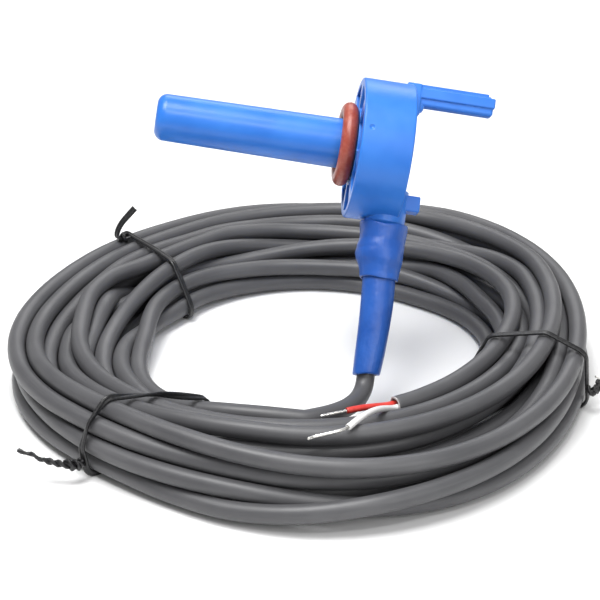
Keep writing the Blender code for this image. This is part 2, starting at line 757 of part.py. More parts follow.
def smooth_path(points, count):
    """Evenly sampled Catmull-Rom curve through the points."""
    points = np.asarray(points, float)
    padded = np.vstack([2 * points[0] - points[1], points, 2 * points[-1] - points[-2]])
    result = []
    for share in np.linspace(0.0, len(points) - 1 - 1e-9, count):
        i = int(share)
        t = share - i
        a, b, c, d = padded[i : i + 4]
        bend, swing = 2 * a - 5 * b + 4 * c - d, 3 * b - a - 3 * c + d
        result.append(0.5 * (2 * b + (c - a) * t + bend * t * t + swing * t ** 3))
    return np.array(result)


def make_tie(name, radius, height, material):
    """One tie: its band round the bundle and its twisted ends, in one body."""
    angle, skew, knot_angle, tail = TIES[name]
    outline = tie_outline(radius, height, angle, skew, 44)
    centre = outline.mean(axis=0)
    away = np.degrees(np.arctan2(outline[:, 1] - centre[1], outline[:, 0] - centre[0]))
    knot_r, knot_z = outline[np.abs((away - knot_angle + 180.0) % 360.0 - 180.0).argmin()]
    here = band_angle(angle, skew, knot_r)
    path = [tie_point(here, knot_r + 0.15, 0.0, knot_z)]
    path += [tie_point(here, knot_r + 0.15 + out, along, knot_z + up) for out, along, up in tail]
    band = make_loop(name, outline, angle, skew, material)
    combine(band, [make_knot(f"{name}_knot", smooth_path(path, 20))], "UNION")
    return tie_point(here, knot_r, 0.0, knot_z)


def make_wire_curl(knot, angle, material):
    """Bare wire that has come out of the right-hand tie's covering."""
    centre = np.asarray(knot)
    path = [centre + tie_point(angle, out + 1.2, along, up) for out, along, up in WIRE_CURL]
    return round_tube("tie_right_wire", smooth_path(path, 22), WIRE_RADIUS, 8, material)


# ---------------------------------------------------------------- build

def centre_on_floor():
    """Hangs everything from one empty that carries the frame's offset."""
    base = bpy.data.objects.new("base_frame", None)
    tops = [obj for obj in bpy.data.objects if obj.parent is None and obj is not base]
    bpy.context.scene.collection.objects.link(base)
    for obj in tops:
        obj.parent = base
    base.location = Vector(FRAME_SHIFT) * MM


def main():
    clear_scene()
    blue = make_material("blue_moulding", (0.033, 0.20, 0.70), 0.34)
    sleeve_blue = make_material("blue_sleeve", (0.025, 0.145, 0.60), 0.42)
    red_rubber = make_material("red_rubber", (0.30, 0.06, 0.03), 0.45)
    grey = make_material("grey_jacket", (0.13, 0.13, 0.14), 0.5)
    black = make_material("black_tie", (0.015, 0.015, 0.015), 0.45)
    materials = {
        "element": make_material("element_resin", (0.02, 0.02, 0.02), 0.3),
        "tin": make_material("tinned_wire", (0.75, 0.74, 0.72), 0.3, 1.0),
        "splice": make_material("splice_tube", (0.05, 0.05, 0.05), 0.6),
        "red": make_material("red_core", (0.65, 0.04, 0.03), 0.4),
        "white": make_material("white_core", (0.85, 0.85, 0.85), 0.4),
    }
    frame = head_frame()
    make_housing(frame, blue)
    make_o_ring(frame, red_rubber)
    make_sensing_parts(frame, materials)
    make_potting(frame, make_material("potting_resin", (0.08, 0.07, 0.06), 0.4))
    make_sleeves(frame, sleeve_blue)
    make_cable_tail(frame, grey)

    radius, height = lay_coil()
    points = coil_points(radius, height)
    make_coil(points, grey)
    make_lead(*boot_mouth(frame), points, grey)
    make_core("red", points, 1.0, RED_ROUTE, materials)
    make_core("white", points, -1.0, WHITE_ROUTE, materials)
    knots = {name: make_tie(name, radius, height, black) for name in TIES}
    make_wire_curl(knots["tie_right"], TIES["tie_right"][0], materials["tin"])
    centre_on_floor()


main()
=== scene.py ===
"""Looks of the insertion sensor: a blue clamp head on a stem, with a long grey lead coiled and tied.

Sizes are in millimetres and are turned into metres where a mesh is made. The head is drawn in its own frame:
X runs along the stem from its closed tip to the rear of the head, Z points away from the cable neck, and the
origin lies on the stem's axis in the plane of the head's front rim.
"""

import json
import math

import bmesh
import bpy
import numpy as np
from mathutils import Matrix, Vector


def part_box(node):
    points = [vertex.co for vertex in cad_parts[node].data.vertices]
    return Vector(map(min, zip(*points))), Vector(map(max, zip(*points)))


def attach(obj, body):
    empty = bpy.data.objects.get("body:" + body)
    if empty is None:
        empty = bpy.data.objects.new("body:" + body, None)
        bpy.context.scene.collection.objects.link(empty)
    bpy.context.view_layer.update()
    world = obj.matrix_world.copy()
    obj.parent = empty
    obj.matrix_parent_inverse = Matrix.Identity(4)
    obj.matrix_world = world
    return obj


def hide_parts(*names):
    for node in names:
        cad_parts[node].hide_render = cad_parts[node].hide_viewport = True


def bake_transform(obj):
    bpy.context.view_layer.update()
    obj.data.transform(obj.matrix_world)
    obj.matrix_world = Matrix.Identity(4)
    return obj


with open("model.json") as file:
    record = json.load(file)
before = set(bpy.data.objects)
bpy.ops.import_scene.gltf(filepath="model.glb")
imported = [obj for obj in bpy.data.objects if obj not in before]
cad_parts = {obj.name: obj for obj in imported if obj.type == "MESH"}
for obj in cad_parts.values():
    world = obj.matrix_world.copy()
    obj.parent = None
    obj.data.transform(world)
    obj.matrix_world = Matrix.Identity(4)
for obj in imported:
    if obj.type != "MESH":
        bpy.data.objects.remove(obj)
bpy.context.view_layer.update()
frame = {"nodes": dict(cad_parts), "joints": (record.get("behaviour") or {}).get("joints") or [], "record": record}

MM = 0.001

# Stem and the ring on it.
STEM_LENGTH = 49.2
STEM_TIP_RADIUS = 5.75
STEM_ROOT_RADIUS = 6.2
STEM_TIP_FILLET = 2.4
SEAT_RADIUS = 7.6
BORE_RADIUS = 3.9
BORE_DEPTH = 47.2
RING_SECTION = 1.95
RING_CLEARANCE = 0.35
RING_STATION = -2.1
FLASH_HEIGHT = 0.035

# Clamp barrel with its cored pockets.
BARREL_RADIUS = 17.4
BARREL_LENGTH = 12.8
BARREL_DROP = 0.5
BARREL_WALL = 1.7
BARREL_EDGE = 0.5
BOSS_RADIUS = 9.4
POCKET_DEPTH = 9.2
NECK_POCKET_DEPTH = 4.2
RIB_WIDTH = 1.5
RIB_ANGLES = (21.4, 63.3, 107.2, 152.1, 203.4, 247.3, 293.7, 337.2)
POCKET_DRAFT = 0.15

# Marks that moulding leaves on the barrel: angles and places are seen along the stem's axis.
MARK_DEPTH = 0.12
GATE_RADIUS = 2.2
EJECTOR_ANGLES = (25.0, 155.0, 235.0, 305.0)
EJECTOR_CIRCLE = 12.4
EJECTOR_RADIUS = 1.4
SINK_ANGLE = 176.0
SINK_RADIUS = 0.85

# Rear arm and nub.
ARM_END = 33.8
ARM_LOW, ARM_STEP, ARM_HIGH = 12.0, 14.2, 16.4
ARM_HALF_DEPTH = 2.9
LEDGE_END = 32.4
LEDGE_TOP = 17.9
NUB_END = 18.0

# Cable neck, sleeves and cable.
NECK_STATION = 10.0
NECK_RADIUS = 5.0
NECK_TOP = -10.3
NECK_END = -19.6
SPIGOT_RADIUS = 4.1
SPIGOT_END = -27.5
NECK_BORE_RADIUS = 2.2
SLEEVE_END = -56.4
SLEEVE_BOW = 0.6
CABLE_RADIUS = 2.25
CORE_RADIUS = 0.75
CONDUCTOR_RADIUS = 0.38
JACKET_INNER_RADIUS = 1.8
JACKET_RECESS = 1.3

# Coil: how far from its axis the lead joins it, at the front.
START_RADIUS = 45.437

# Ties: angle round the coil, skew of the band (distance along the coil for each unit outwards), twist of the
# band in each millimetre, angle of the knot in the band (0 is outwards, 90 is up), and the tail as points
# outwards, along the coil and up from the knot.
TIES = {
    "tie_left_rear": (
        137.0, -0.15, 0.0, 38.0,
        ((1.2, 2.2, -0.4), (1.7, 4.0, 0.8), (1.3, 2.6, 4.0), (-0.6, -1.0, 8.2)),
    ),
    "tie_left_front": (233.0, -0.3, 0.12, -14.0, ((2.8, -0.6, 0.3), (5.8, -4.5, 1.0), (9.4, -12.0, 3.0))),
    "tie_right": (-20.5, 0.0, 0.0, -10.0, ((1.1, -0.8, 0.3), (2.2, -0.8, 0.7), (2.6, 0.7, 2.0))),
}

# A skewed band keeps its tie's angle at the pivot radius. It stands clear of the jackets by the tie reach.
TIE_PIVOT = 62.0
TIE_REACH = 0.85
TIE_HALF_WIDTH = 0.9
CORD_RADIUS = 0.56
WRAP_RADIUS = 0.5
WRAP_TURNS = 2.2
FLAT_TAIL = "tie_left_rear"
BARE_WIRE_RADIUS = 0.26

# Camera: distance in front of the coil's axis, height, how many degrees it looks down, and its lens.
CAMERA_BACK = 402.63
CAMERA_HEIGHT = 214.04
CAMERA_DOWN = 28.0
CAMERA_LENS = 105.06
CAMERA_SENSOR = 36.0
CAMERA_SHIFT = 0.1
WORLD_STRENGTH = 0.32


# ---------------------------------------------------------------- frame

def joint(name):
    return next(j for j in frame["joints"] if j["name"] == name)


def node_points(name):
    """Distinct corners of a CAD node, in millimetres."""
    points = np.array([v.co for v in frame["nodes"][name].data.vertices]) / MM
    return np.unique(points.round(3), axis=0)


def head_matrix():
    """Places the head: X from the sliding ring's axis, Z away from the sleeve on the cable neck."""
    along = -Vector(joint("ring_slide")["axis"]).normalized()
    low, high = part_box("o_ring")
    ring_centre = (low + high) / 2
    up = ring_centre - Vector(node_points("neck_sleeve").mean(axis=0)) * MM
    up = (up - along * up.dot(along)).normalized()
    turn = Matrix((along, up.cross(along), up)).transposed().to_4x4()
    return Matrix.Translation(ring_centre - RING_STATION * MM * along) @ turn


def coil_start():
    """Where the lead flexes out of the coil."""
    return np.array(joint("lead_swing")["pos_m"]) / MM


HEAD = head_matrix()
COIL_AXIS = coil_start()[:2] + (0.0, START_RADIUS)
COIL_BASE = np.array((*COIL_AXIS, 0.0))


def ring_centres(name, start, sides):
    """Centre line of a CAD tube, ring by ring from the end cap nearest to the start point."""
    mesh = frame["nodes"][name].data
    corners = np.array([v.co for v in mesh.vertices]) / MM
    points, index = np.unique(corners.round(3), axis=0, return_inverse=True)
    index = index.reshape(-1)
    neighbours = [set() for _ in points]
    for edge in mesh.edges:
        a, b = (int(index[v]) for v in edge.vertices)
        neighbours[a].add(b)
        neighbours[b].add(a)
    ring = set(np.linalg.norm(points - start, axis=1).argsort()[:sides].tolist())
    seen, centres = set(), []
    while ring:
        centres.append(points[sorted(ring)].mean(axis=0))
        seen |= ring
        ring = set().union(*(neighbours[v] for v in ring)) - seen
    return np.array(centres)


# ---------------------------------------------------------------- meshes

def make_mesh(name, points, faces, matrix=None, smooth=True):
    """An object from points in millimetres, with its faces turned outwards."""
    mesh = bpy.data.meshes.new(name)
    mesh.from_pydata((np.asarray(points, float) * MM).tolist(), [], faces)
    shape = bmesh.new()
    shape.from_mesh(mesh)
    bmesh.ops.recalc_face_normals(shape, faces=shape.faces)
    shape.to_mesh(mesh)
    shape.free()
    if matrix is not None:
        mesh.transform(matrix)
    mesh.polygons.foreach_set("use_smooth", [smooth] * len(mesh.polygons))
    obj = bpy.data.objects.new(name, mesh)
    bpy.context.scene.collection.objects.link(obj)
    return obj


def ring_faces(count, sides, closed=False):
    """Faces of a tube of `count` rings, with end caps unless the tube closes on itself."""
    faces = []
    for i in range(count if closed else count - 1):
        near, far = i * sides, (i + 1) % count * sides
        for j in range(sides):
            k = (j + 1) % sides
            faces.append((near + j, near + k, far + k, far + j))
    if not closed:
        faces.append(tuple(range(sides))[::-1])
        faces.append(tuple((count - 1) * sides + j for j in range(sides)))
    return faces


def ring_mesh(name, rings, closed=False, matrix=None):
    """A tube through rings of points, an array of stations by sides by three."""
    count, sides = rings.shape[:2]
    return make_mesh(name, rings.reshape(-1, 3), ring_faces(count, sides, closed), matrix)


def unit(rows):
    return rows / np.linalg.norm(rows, axis=-1, keepdims=True)


def path_frames(path):
    """Two unit vectors across the path at each of its points, carried along it without twist."""
    steps = np.diff(path, axis=0)
    tangent = unit(unit(np.vstack([steps, steps[-1:]])) + unit(np.vstack([steps[:1], steps])))
    up = np.array((0.0, 0.0, 1.0)) if abs(tangent[0][2]) < 0.8 else np.array((0.0, 1.0, 0.0))
    first = []
    for direction in tangent:
        up = up - direction * (up @ direction)
        up = up / np.linalg.norm(up)
        first.append(up)
    first = np.array(first)
    return first, np.cross(tangent, first)


def run_length(path):
    return np.concatenate([[0.0], np.cumsum(np.linalg.norm(np.diff(path, axis=0), axis=1))])


def circle(sides, radius=1.0):
    angles = 2 * math.pi * np.arange(sides) / sides
    return radius * np.stack([np.cos(angles), np.sin(angles)], axis=1)


def sweep(path, section, turn=None):
    """Rings of a section carried along a path; `turn` rolls it, by an angle for each station."""
    first, second = path_frames(path)
    section = np.broadcast_to(section, (len(path), *np.shape(section)[-2:]))
    if turn is not None:
        cos, sin = np.cos(turn)[:, None], np.sin(turn)[:, None]
        x, y = section[..., 0], section[..., 1]
        section = np.stack([x * cos - y * sin, x * sin + y * cos], axis=-1)
    return path[:, None] + section[..., :1] * first[:, None] + section[..., 1:] * second[:, None]


def add_lie(obj, path, sides, radius):
    """Keeps how far along the path each point is, and where round it, for streaks that follow the lead."""
    run = np.repeat(run_length(path), sides)
    around = np.tile(circle(sides, radius), (len(path), 1))
    values = np.column_stack([run, around]).astype(np.float32)
    attribute = obj.data.attributes.new("lie", "FLOAT_VECTOR", "POINT")
    attribute.data.foreach_set("vector", values.ravel())


def smooth_path(points, per_span):
    """Catmull-Rom curve through the points, with the same number of steps in each span."""
    points = np.asarray(points, float)
    padded = np.vstack([2 * points[0] - points[1], points, 2 * points[-1] - points[-2]])
    a, b, c, d = (padded[i : len(padded) - 3 + i, None] for i in range(4))
    t = (np.arange(per_span) / per_span)[None, :, None]
    square = 2 * a - 5 * b + 4 * c - d
    cube = 3 * b - a - 3 * c + d
    curve = 2 * b + (c - a) * t + square * t * t + cube * t ** 3
    return np.vstack([0.5 * curve.reshape(-1, 3), points[-1:]])


def even_path(path, step):
    """The same path with evenly spaced points."""
    run = run_length(path)
    even = np.linspace(0.0, run[-1], max(2, round(run[-1] / step) + 1))
    return np.stack([np.interp(even, run, path[:, k]) for k in range(3)], axis=1)


def turned(name, profile, sides, centre=(0.0, 0.0, 0.0), along="X", phase=0.37):
    """A solid of revolution from (station, radius) pairs that start and end on the axis."""
    profile = np.asarray(profile, float)
    angles = 2 * math.pi * (np.arange(sides) + phase) / sides
    middle = profile[1:-1]
    rings = np.stack([
        np.repeat(middle[:, :1], sides, axis=1),
        middle[:, 1:] * np.cos(angles),
        middle[:, 1:] * np.sin(angles),
    ], axis=-1)
    count = len(middle)
    points = np.vstack([rings.reshape(-1, 3), (profile[0][0], 0.0, 0.0), (profile[-1][0], 0.0, 0.0)])
    faces = ring_faces(count, sides)[:-2]
    for tip, ring in ((count * sides, 0), (count * sides + 1, count - 1)):
        faces += [(tip, ring * sides + j, ring * sides + (j + 1) % sides) for j in range(sides)]
    if along == "Z":
        points = points[:, (1, 2, 0)]
    return make_mesh(name, points + np.asarray(centre), faces)


def arc(station, radius, size, start, end, steps=6):
    """Profile points of a rounded edge, between two angles in degrees (0 is towards +X, 90 is outwards)."""
    angles = np.radians(np.linspace(start, end, steps))
    return [(station + size * math.cos(a), radius + size * math.sin(a)) for a in angles]


def block(name, low, high, bevel, segments=4):
    """A box between two corners, with its edges rounded."""
    shape = bmesh.new()
    centre = [(a + b) / 2 for a, b in zip(low, high)]
    sides = [b - a for a, b in zip(low, high)]
    bmesh.ops.create_cube(shape, size=1.0, matrix=Matrix.Translation(centre) @ Matrix.Diagonal((*sides, 1.0)))
    bmesh.ops.bevel(shape, geom=shape.edges[:], offset=bevel, segments=segments, profile=0.5, affect="EDGES")
    shape.verts.index_update()
    points = [tuple(v.co) for v in shape.verts]
    faces = [tuple(v.index for v in face.verts) for face in shape.faces]
    shape.free()
    return make_mesh(name, points, faces)


def joined(name, parts):
    """Several separate solids in one mesh."""
    shape = bmesh.new()
    for part in parts:
        shape.from_mesh(part.data)
        bpy.data.objects.remove(part)
    mesh = bpy.data.meshes.new(name)
    shape.to_mesh(mesh)
    shape.free()
    obj = bpy.data.objects.new(name, mesh)
    bpy.context.scene.collection.objects.link(obj)
    return obj


def combine(target, others, operation):
    """Joins each other solid to the target, or cuts it away, and keeps the result."""
    for other in others:
        modifier = target.modifiers.new("combine", "BOOLEAN")
        modifier.operation = operation
        modifier.solver = "EXACT"
        modifier.object = other
    graph = bpy.context.evaluated_depsgraph_get()
    result = bpy.data.meshes.new_from_object(target.evaluated_get(graph), depsgraph=graph)
    target.modifiers.clear()
    target.data = result
    for other in others:
        bpy.data.objects.remove(other)


def finish_moulding(obj, sharp_degrees):
    """Smooth shading that breaks at sharp edges."""
    obj.data.polygons.foreach_set("use_smooth", [True] * len(obj.data.polygons))
    obj.data.set_sharp_from_angle(angle=math.radians(sharp_degrees))
    modifier = obj.modifiers.new("even normals", "WEIGHTED_NORMAL")
    modifier.keep_sharp = True


def place(obj, material, body, slot, *nodes):
    """Gives a finished piece its material, joins it to its body when a body is named and otherwise bakes its
    placement in, and hides the CAD nodes it stands for.
    """
    obj.data.materials.clear()
    obj.data.materials.append(material)
    if isinstance(body, str):
        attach(obj, body)
    else:
        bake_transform(obj)
    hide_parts(*nodes)
    return obj


# ---------------------------------------------------------------- materials

class Graph:
    """A material's node tree, with short calls that add and join nodes. Coordinates are in millimetres."""

    def __init__(self, name):
        self.material = bpy.data.materials.new(name)
        self.material.use_nodes = True
        self.tree = self.material.node_tree
        self.shader = self.tree.nodes["Principled BSDF"]
        coordinates = self.add("ShaderNodeTexCoord").outputs["Object"]
        scaled = self.add("ShaderNodeVectorMath", {0: coordinates}, operation="SCALE")
        scaled.inputs["Scale"].default_value = 1.0 / MM
        self.place = scaled.outputs[0]

    def add(self, kind, inputs=None, **settings):
        node = self.tree.nodes.new(kind)
        for key, value in settings.items():
            setattr(node, key, value)
        for key, value in (inputs or {}).items():
            self.feed(node, key, value)
        return node

    def feed(self, node, key, value):
        if isinstance(value, bpy.types.NodeSocket):
            self.tree.links.new(value, node.inputs[key])
        else:
            node.inputs[key].default_value = value

    def set(self, **values):
        for key, value in values.items():
            self.feed(self.shader, key.replace("_", " "), value)

    def lie(self, stretch):
        """Coordinates that follow the lead, drawn out along it."""
        attribute = self.add("ShaderNodeAttribute", attribute_name="lie")
        inputs = {0: attribute.outputs["Vector"], 1: (1.0 / stretch, 1.0, 1.0)}
        return self.add("ShaderNodeVectorMath", inputs, operation="MULTIPLY").outputs[0]

    def noise(self, scale, detail=3.0, rough=0.55, where=None):
        """A noise of about `scale` features in each millimetre."""
        inputs = {"Vector": where or self.place, "Scale": scale, "Detail": detail, "Roughness": rough}
        return self.add("ShaderNodeTexNoise", inputs).outputs["Fac"]

    def spread(self, value, low, high, to_low=0.0, to_high=1.0):
        """The value's range low to high, stretched to another range and clamped."""
        inputs = {"Value": value, "From Min": low, "From Max": high, "To Min": to_low, "To Max": to_high}
        return self.add("ShaderNodeMapRange", inputs).outputs["Result"]

    def blend(self, factor, first, second):
        node = self.add("ShaderNodeMix", data_type="RGBA")
        self.feed(node, 0, factor)
        self.feed(node, 6, (*first, 1.0) if isinstance(first, tuple) else first)
        self.feed(node, 7, (*second, 1.0) if isinstance(second, tuple) else second)
        return node.outputs[2]

    def calc(self, operation, first, second):
        return self.add("ShaderNodeMath", {0: first, 1: second}, operation=operation).outputs[0]

    def bump(self, height, depth, normal=None):
        """Relief of the given depth, in millimetres."""
        inputs = {"Height": height, "Strength": 1.0, "Distance": depth * MM}
        if normal:
            inputs["Normal"] = normal
        return self.add("ShaderNodeBump", inputs).outputs["Normal"]

    def soft_edges(self, radius):
        """The normal as it is with every edge rounded to this radius."""
        inputs = {"Radius": radius * MM}
        return self.add("ShaderNodeBevel", inputs, samples=6).outputs["Normal"]

    def edge_wear_and_highlight(self, rounded):
        """One along edges and zero on faces, from a rounded normal."""
        true = self.add("ShaderNodeNewGeometry").outputs["Normal"]
        dot = self.add("ShaderNodeVectorMath", {0: rounded, 1: true}, operation="DOT_PRODUCT")
        return self.spread(dot.outputs["Value"], 0.995, 0.88)


def moulded_blue():
    """Satin moulded plastic: faint flow clouding, fine texture, edges lightened partly as rubbed wear and partly
    as painted highlight, and handling scuffs.
    """
    g = Graph("blue_moulding")
    clouds = g.noise(0.09, 2.0)
    speckle = g.noise(5.0, 2.0)
    rounded = g.soft_edges(0.35)
    rubbed_and_lit_edges = g.calc("MULTIPLY", g.edge_wear_and_highlight(rounded), g.spread(g.noise(0.8), 0.35, 0.7))
    base = g.blend(g.spread(clouds, 0.3, 0.7), (0.023, 0.160, 0.60), (0.035, 0.202, 0.69))
    # Edges lightened towards pale blue: partly rubbed wear, partly painted highlight lines along the ridges.
    base = g.blend(g.calc("MULTIPLY", rubbed_and_lit_edges, 0.6), base, (0.20, 0.45, 0.92))
    scuffs = g.spread(g.noise(1.4, 6.0, 0.75), 0.60, 0.74)
    roughness = g.calc("ADD", g.spread(clouds, 0.3, 0.7, 0.30, 0.38), g.calc("MULTIPLY", scuffs, 0.22))
    relief = g.bump(g.noise(0.35, 1.0), 0.05, rounded)
    relief = g.bump(speckle, 0.012, relief)
    g.set(Base_Color=base, Roughness=roughness, Normal=relief, IOR=1.47)
    g.set(Subsurface_Weight=0.06, Subsurface_Radius=(0.2, 0.5, 1.0), Subsurface_Scale=0.0012)
    return g.material


def sleeve_blue():
    """Shrunk tubing: a little darker and softer, with slack ripples and lengthwise draw lines."""
    g = Graph("blue_sleeve")
    clouds = g.noise(0.16, 3.0)
    lines = g.noise(1.6, 3.0, where=g.lie(14.0))
    base = g.blend(g.spread(clouds, 0.3, 0.7), (0.011, 0.080, 0.37), (0.019, 0.110, 0.46))
    base = g.blend(g.spread(lines, 0.6, 0.8, 0.0, 0.35), base, (0.04, 0.16, 0.56))
    relief = g.bump(g.noise(0.5, 2.0), 0.12)
    relief = g.bump(lines, 0.035, relief)
    relief = g.bump(g.noise(6.0, 2.0), 0.01, relief)
    g.set(Base_Color=base, Roughness=g.spread(g.noise(0.7), 0.3, 0.7, 0.32, 0.46), Normal=relief)
    return g.material


def rubber_red():
    """Silicone rubber: even brown-red, a bloom of dust and a fine skin."""
    g = Graph("red_rubber")
    bloom = g.spread(g.noise(0.9, 5.0, 0.65), 0.42, 0.75)
    base = g.blend(bloom, (0.33, 0.062, 0.040), (0.44, 0.125, 0.085))
    relief = g.bump(g.noise(0.6, 2.0), 0.05)
    relief = g.bump(g.noise(9.0, 2.0), 0.012, relief)
    g.set(Base_Color=base, Roughness=g.spread(bloom, 0.0, 1.0, 0.30, 0.48), Normal=relief)
    return g.material


def jacket_grey():
    """Extruded PVC: satin grey with lengthwise die lines, lightened partly as their own tone and partly as painted
    highlight streaks, cloudy bloom and small rubbed scuffs.
    """
    g = Graph("grey_jacket")
    along = g.lie(30.0)
    lines = g.noise(1.1, 4.0, 0.6, where=along)
    clouds = g.noise(0.05, 3.0)
    grain = g.noise(7.0, 3.0)
    base = g.blend(g.spread(clouds, 0.3, 0.7), (0.066, 0.066, 0.071), (0.096, 0.096, 0.101))
    # Lengthwise lines lightened towards pale grey: partly die-line tone, partly painted highlight streaks.
    base = g.blend(g.spread(lines, 0.52, 0.75, 0.0, 0.35), base, (0.135, 0.135, 0.14))
    scuffs = g.spread(g.noise(0.9, 7.0, 0.8, where=g.lie(3.0)), 0.66, 0.74)
    base = g.blend(g.calc("MULTIPLY", scuffs, 0.4), base, (0.24, 0.24, 0.24))
    roughness = g.calc("ADD", g.spread(lines, 0.3, 0.7, 0.38, 0.50), g.calc("MULTIPLY", scuffs, 0.15))
    relief = g.bump(lines, 0.03)
    relief = g.bump(grain, 0.014, relief)
    g.set(Base_Color=base, Roughness=roughness, Normal=relief, IOR=1.5)
    return g.material


def tie_black():
    """Plastic-covered tie: black, with a fine crosswise grain and greyed high spots."""
    g = Graph("black_tie")
    rubbed = g.spread(g.noise(1.8, 5.0, 0.7), 0.5, 0.75)
    base = g.blend(rubbed, (0.010, 0.010, 0.011), (0.05, 0.05, 0.052))
    relief = g.bump(g.noise(4.0, 4.0), 0.06)
    g.set(Base_Color=base, Roughness=g.spread(rubbed, 0.0, 1.0, 0.33, 0.5), Normal=relief)
    return g.material


def core_plastic(name, dark, light, roughness):
    """Thin extruded insulation: smooth, with slight shade changes and handling marks."""
    g = Graph(name)
    shade = g.spread(g.noise(0.6, 3.0), 0.3, 0.7)
    marks = g.spread(g.noise(2.2, 6.0, 0.75), 0.62, 0.72)
    base = g.blend(shade, dark, light)
    base = g.blend(g.calc("MULTIPLY", marks, 0.25), base, tuple(0.6 * c for c in dark))
    relief = g.bump(g.noise(2.0, 3.0), 0.02)
    satin = g.spread(shade, 0.0, 1.0, roughness - 0.05, roughness + 0.06)
    g.set(Base_Color=base, Roughness=satin, Normal=relief)
    return g.material


def tinned_wire():
    """Tinned copper: bright, a little uneven, with dull patches."""
    g = Graph("tinned_wire")
    dull = g.spread(g.noise(1.6, 5.0, 0.7), 0.35, 0.7)
    base = g.blend(dull, (0.86, 0.85, 0.82), (0.62, 0.60, 0.56))
    relief = g.bump(g.noise(5.0, 3.0), 0.02)
    g.set(Base_Color=base, Roughness=g.spread(dull, 0.0, 1.0, 0.22, 0.42), Metallic=0.95, Normal=relief)
    return g.material


def jacket_cut():
    """The paler inside of the jacket where it was cut back."""
    g = Graph("jacket_cut")
    chalk = g.spread(g.noise(2.5, 5.0, 0.7), 0.35, 0.7)
    base = g.blend(chalk, (0.30, 0.28, 0.28), (0.68, 0.64, 0.64))
    g.set(Base_Color=base, Roughness=0.7, Normal=g.bump(g.noise(4.0, 4.0), 0.08))
    return g.material


def resin(name, dark, light, roughness):
    """Cast resin or shrunk tubing inside the stem: clouded, with a slightly uneven skin."""
    g = Graph(name)
    clouds = g.spread(g.noise(0.8, 4.0), 0.3, 0.7)
    relief = g.bump(g.noise(3.0, 3.0), 0.03)
    g.set(Base_Color=g.blend(clouds, dark, light), Roughness=roughness, Normal=relief)
    return g.material


def pale_floor():
    g = Graph("pale_floor")
    clouds = g.spread(g.noise(0.01, 2.0), 0.3, 0.7)
    g.set(Base_Color=g.blend(clouds, (0.90, 0.90, 0.90), (0.93, 0.93, 0.93)), Roughness=0.8)
    g.set(Specular_IOR_Level=0.1)
    return g.material


def make_materials():
    return {
        "blue_moulding": moulded_blue(),
        "blue_sleeve": sleeve_blue(),
        "red_rubber": rubber_red(),
        "grey_jacket": jacket_grey(),
        "black_tie": tie_black(),
        "tinned_wire": tinned_wire(),
        "red_core": core_plastic("red_core", (0.60, 0.035, 0.028), (0.72, 0.065, 0.05), 0.33),
        "white_core": core_plastic("white_core", (0.80, 0.79, 0.78), (0.90, 0.90, 0.89), 0.36),
        "element_resin": resin("element_resin", (0.012, 0.012, 0.012), (0.03, 0.03, 0.03), 0.3),
        "splice_tube": resin("splice_tube", (0.02, 0.02, 0.02), (0.05, 0.05, 0.05), 0.55),
        "potting_resin": resin("potting_resin", (0.06, 0.05, 0.045), (0.11, 0.095, 0.08), 0.4),
    }


# ---------------------------------------------------------------- head

def stem_radius(station):
    """Outside radius of the drafted stem at a station along its axis."""
    share = (station + STEM_LENGTH) / STEM_LENGTH
    return STEM_TIP_RADIUS + (STEM_ROOT_RADIUS - STEM_TIP_RADIUS) * share


def make_stem():
    """The closed stem and the seat that carries it into the barrel, in one profile."""
    seat_end = BARREL_LENGTH - 1.9
    fillet = STEM_TIP_FILLET
    profile = [(-STEM_LENGTH, 0.0)]
    profile += arc(-STEM_LENGTH + fillet, STEM_TIP_RADIUS - fillet, fillet, 180, 90, 14)
    profile += [(-1.5, stem_radius(-1.5)), (-1.2, stem_radius(-1.2) + 0.03), (-0.25, SEAT_RADIUS - 0.12)]
    profile += [(-0.1, SEAT_RADIUS), (seat_end, SEAT_RADIUS), (seat_end, 0.0)]
    return turned("stem", profile, 128)


def make_barrel():
    """The clamp barrel before it is cored, with a small round on both rims."""
    edge = BARREL_EDGE
    profile = [(0.0, 0.0)]
    profile += arc(edge, BARREL_RADIUS - edge, edge, 180, 90)
    profile += arc(BARREL_LENGTH - edge, BARREL_RADIUS - edge, edge, 90, 0)
    profile += [(BARREL_LENGTH, 0.0)]
    return turned("moulded_housing", profile, 180, centre=(0.0, 0.0, -BARREL_DROP), phase=0.0)


def sector(station, start, end, inset):
    """Outline of one cored pocket at a depth: a sector of a ring with rounded corners."""
    inner, outer = BOSS_RADIUS + inset, BARREL_RADIUS - BARREL_WALL - inset
    corner = 0.55
    half = RIB_WIDTH / 2 + inset
    points = []
    for radius, centre_radius, sweep_from, sweep_to in (
        (inner, inner + corner, start, end), (outer, outer - corner, end, start),
    ):
        slack = math.degrees((half + corner) / centre_radius) * (1 if sweep_to > sweep_from else -1)
        first, last = sweep_from + slack, sweep_to - slack
        outward = 180.0 if radius == inner else 0.0
        turn_in = 90.0 if radius == inner else -90.0
        for at, span in ((first, (outward + turn_in, outward)), (last, (outward, outward - turn_in))):
            middle = centre_radius * np.array((math.cos(math.radians(at)), math.sin(math.radians(at))))
            for angle in np.linspace(*span, 5):
                spoke = math.radians(at + angle)
                points.append(middle + corner * np.array((math.cos(spoke), math.sin(spoke))))
            if at == first:
                for between in np.linspace(first, last, 12)[1:-1]:
                    spoke = math.radians(between)
                    points.append(radius * np.array((math.cos(spoke), math.sin(spoke))))
    return [(station, y, z - BARREL_DROP) for y, z in points]


def make_pockets():
    """Cutters for the pockets between the ribs: the one over the neck is shallower."""
    ends = RIB_ANGLES[1:] + (RIB_ANGLES[0] + 360.0,)
    pockets = []
    for i, (start, end) in enumerate(zip(RIB_ANGLES, ends)):
        depth = NECK_POCKET_DEPTH if start < 270.0 < end else POCKET_DEPTH
        rings = [sector(-1.0, start, end, -0.02), sector(depth, start, end, POCKET_DRAFT)]
        pockets.append(ring_mesh(f"pocket_{i}", np.array(rings)))
    return pockets


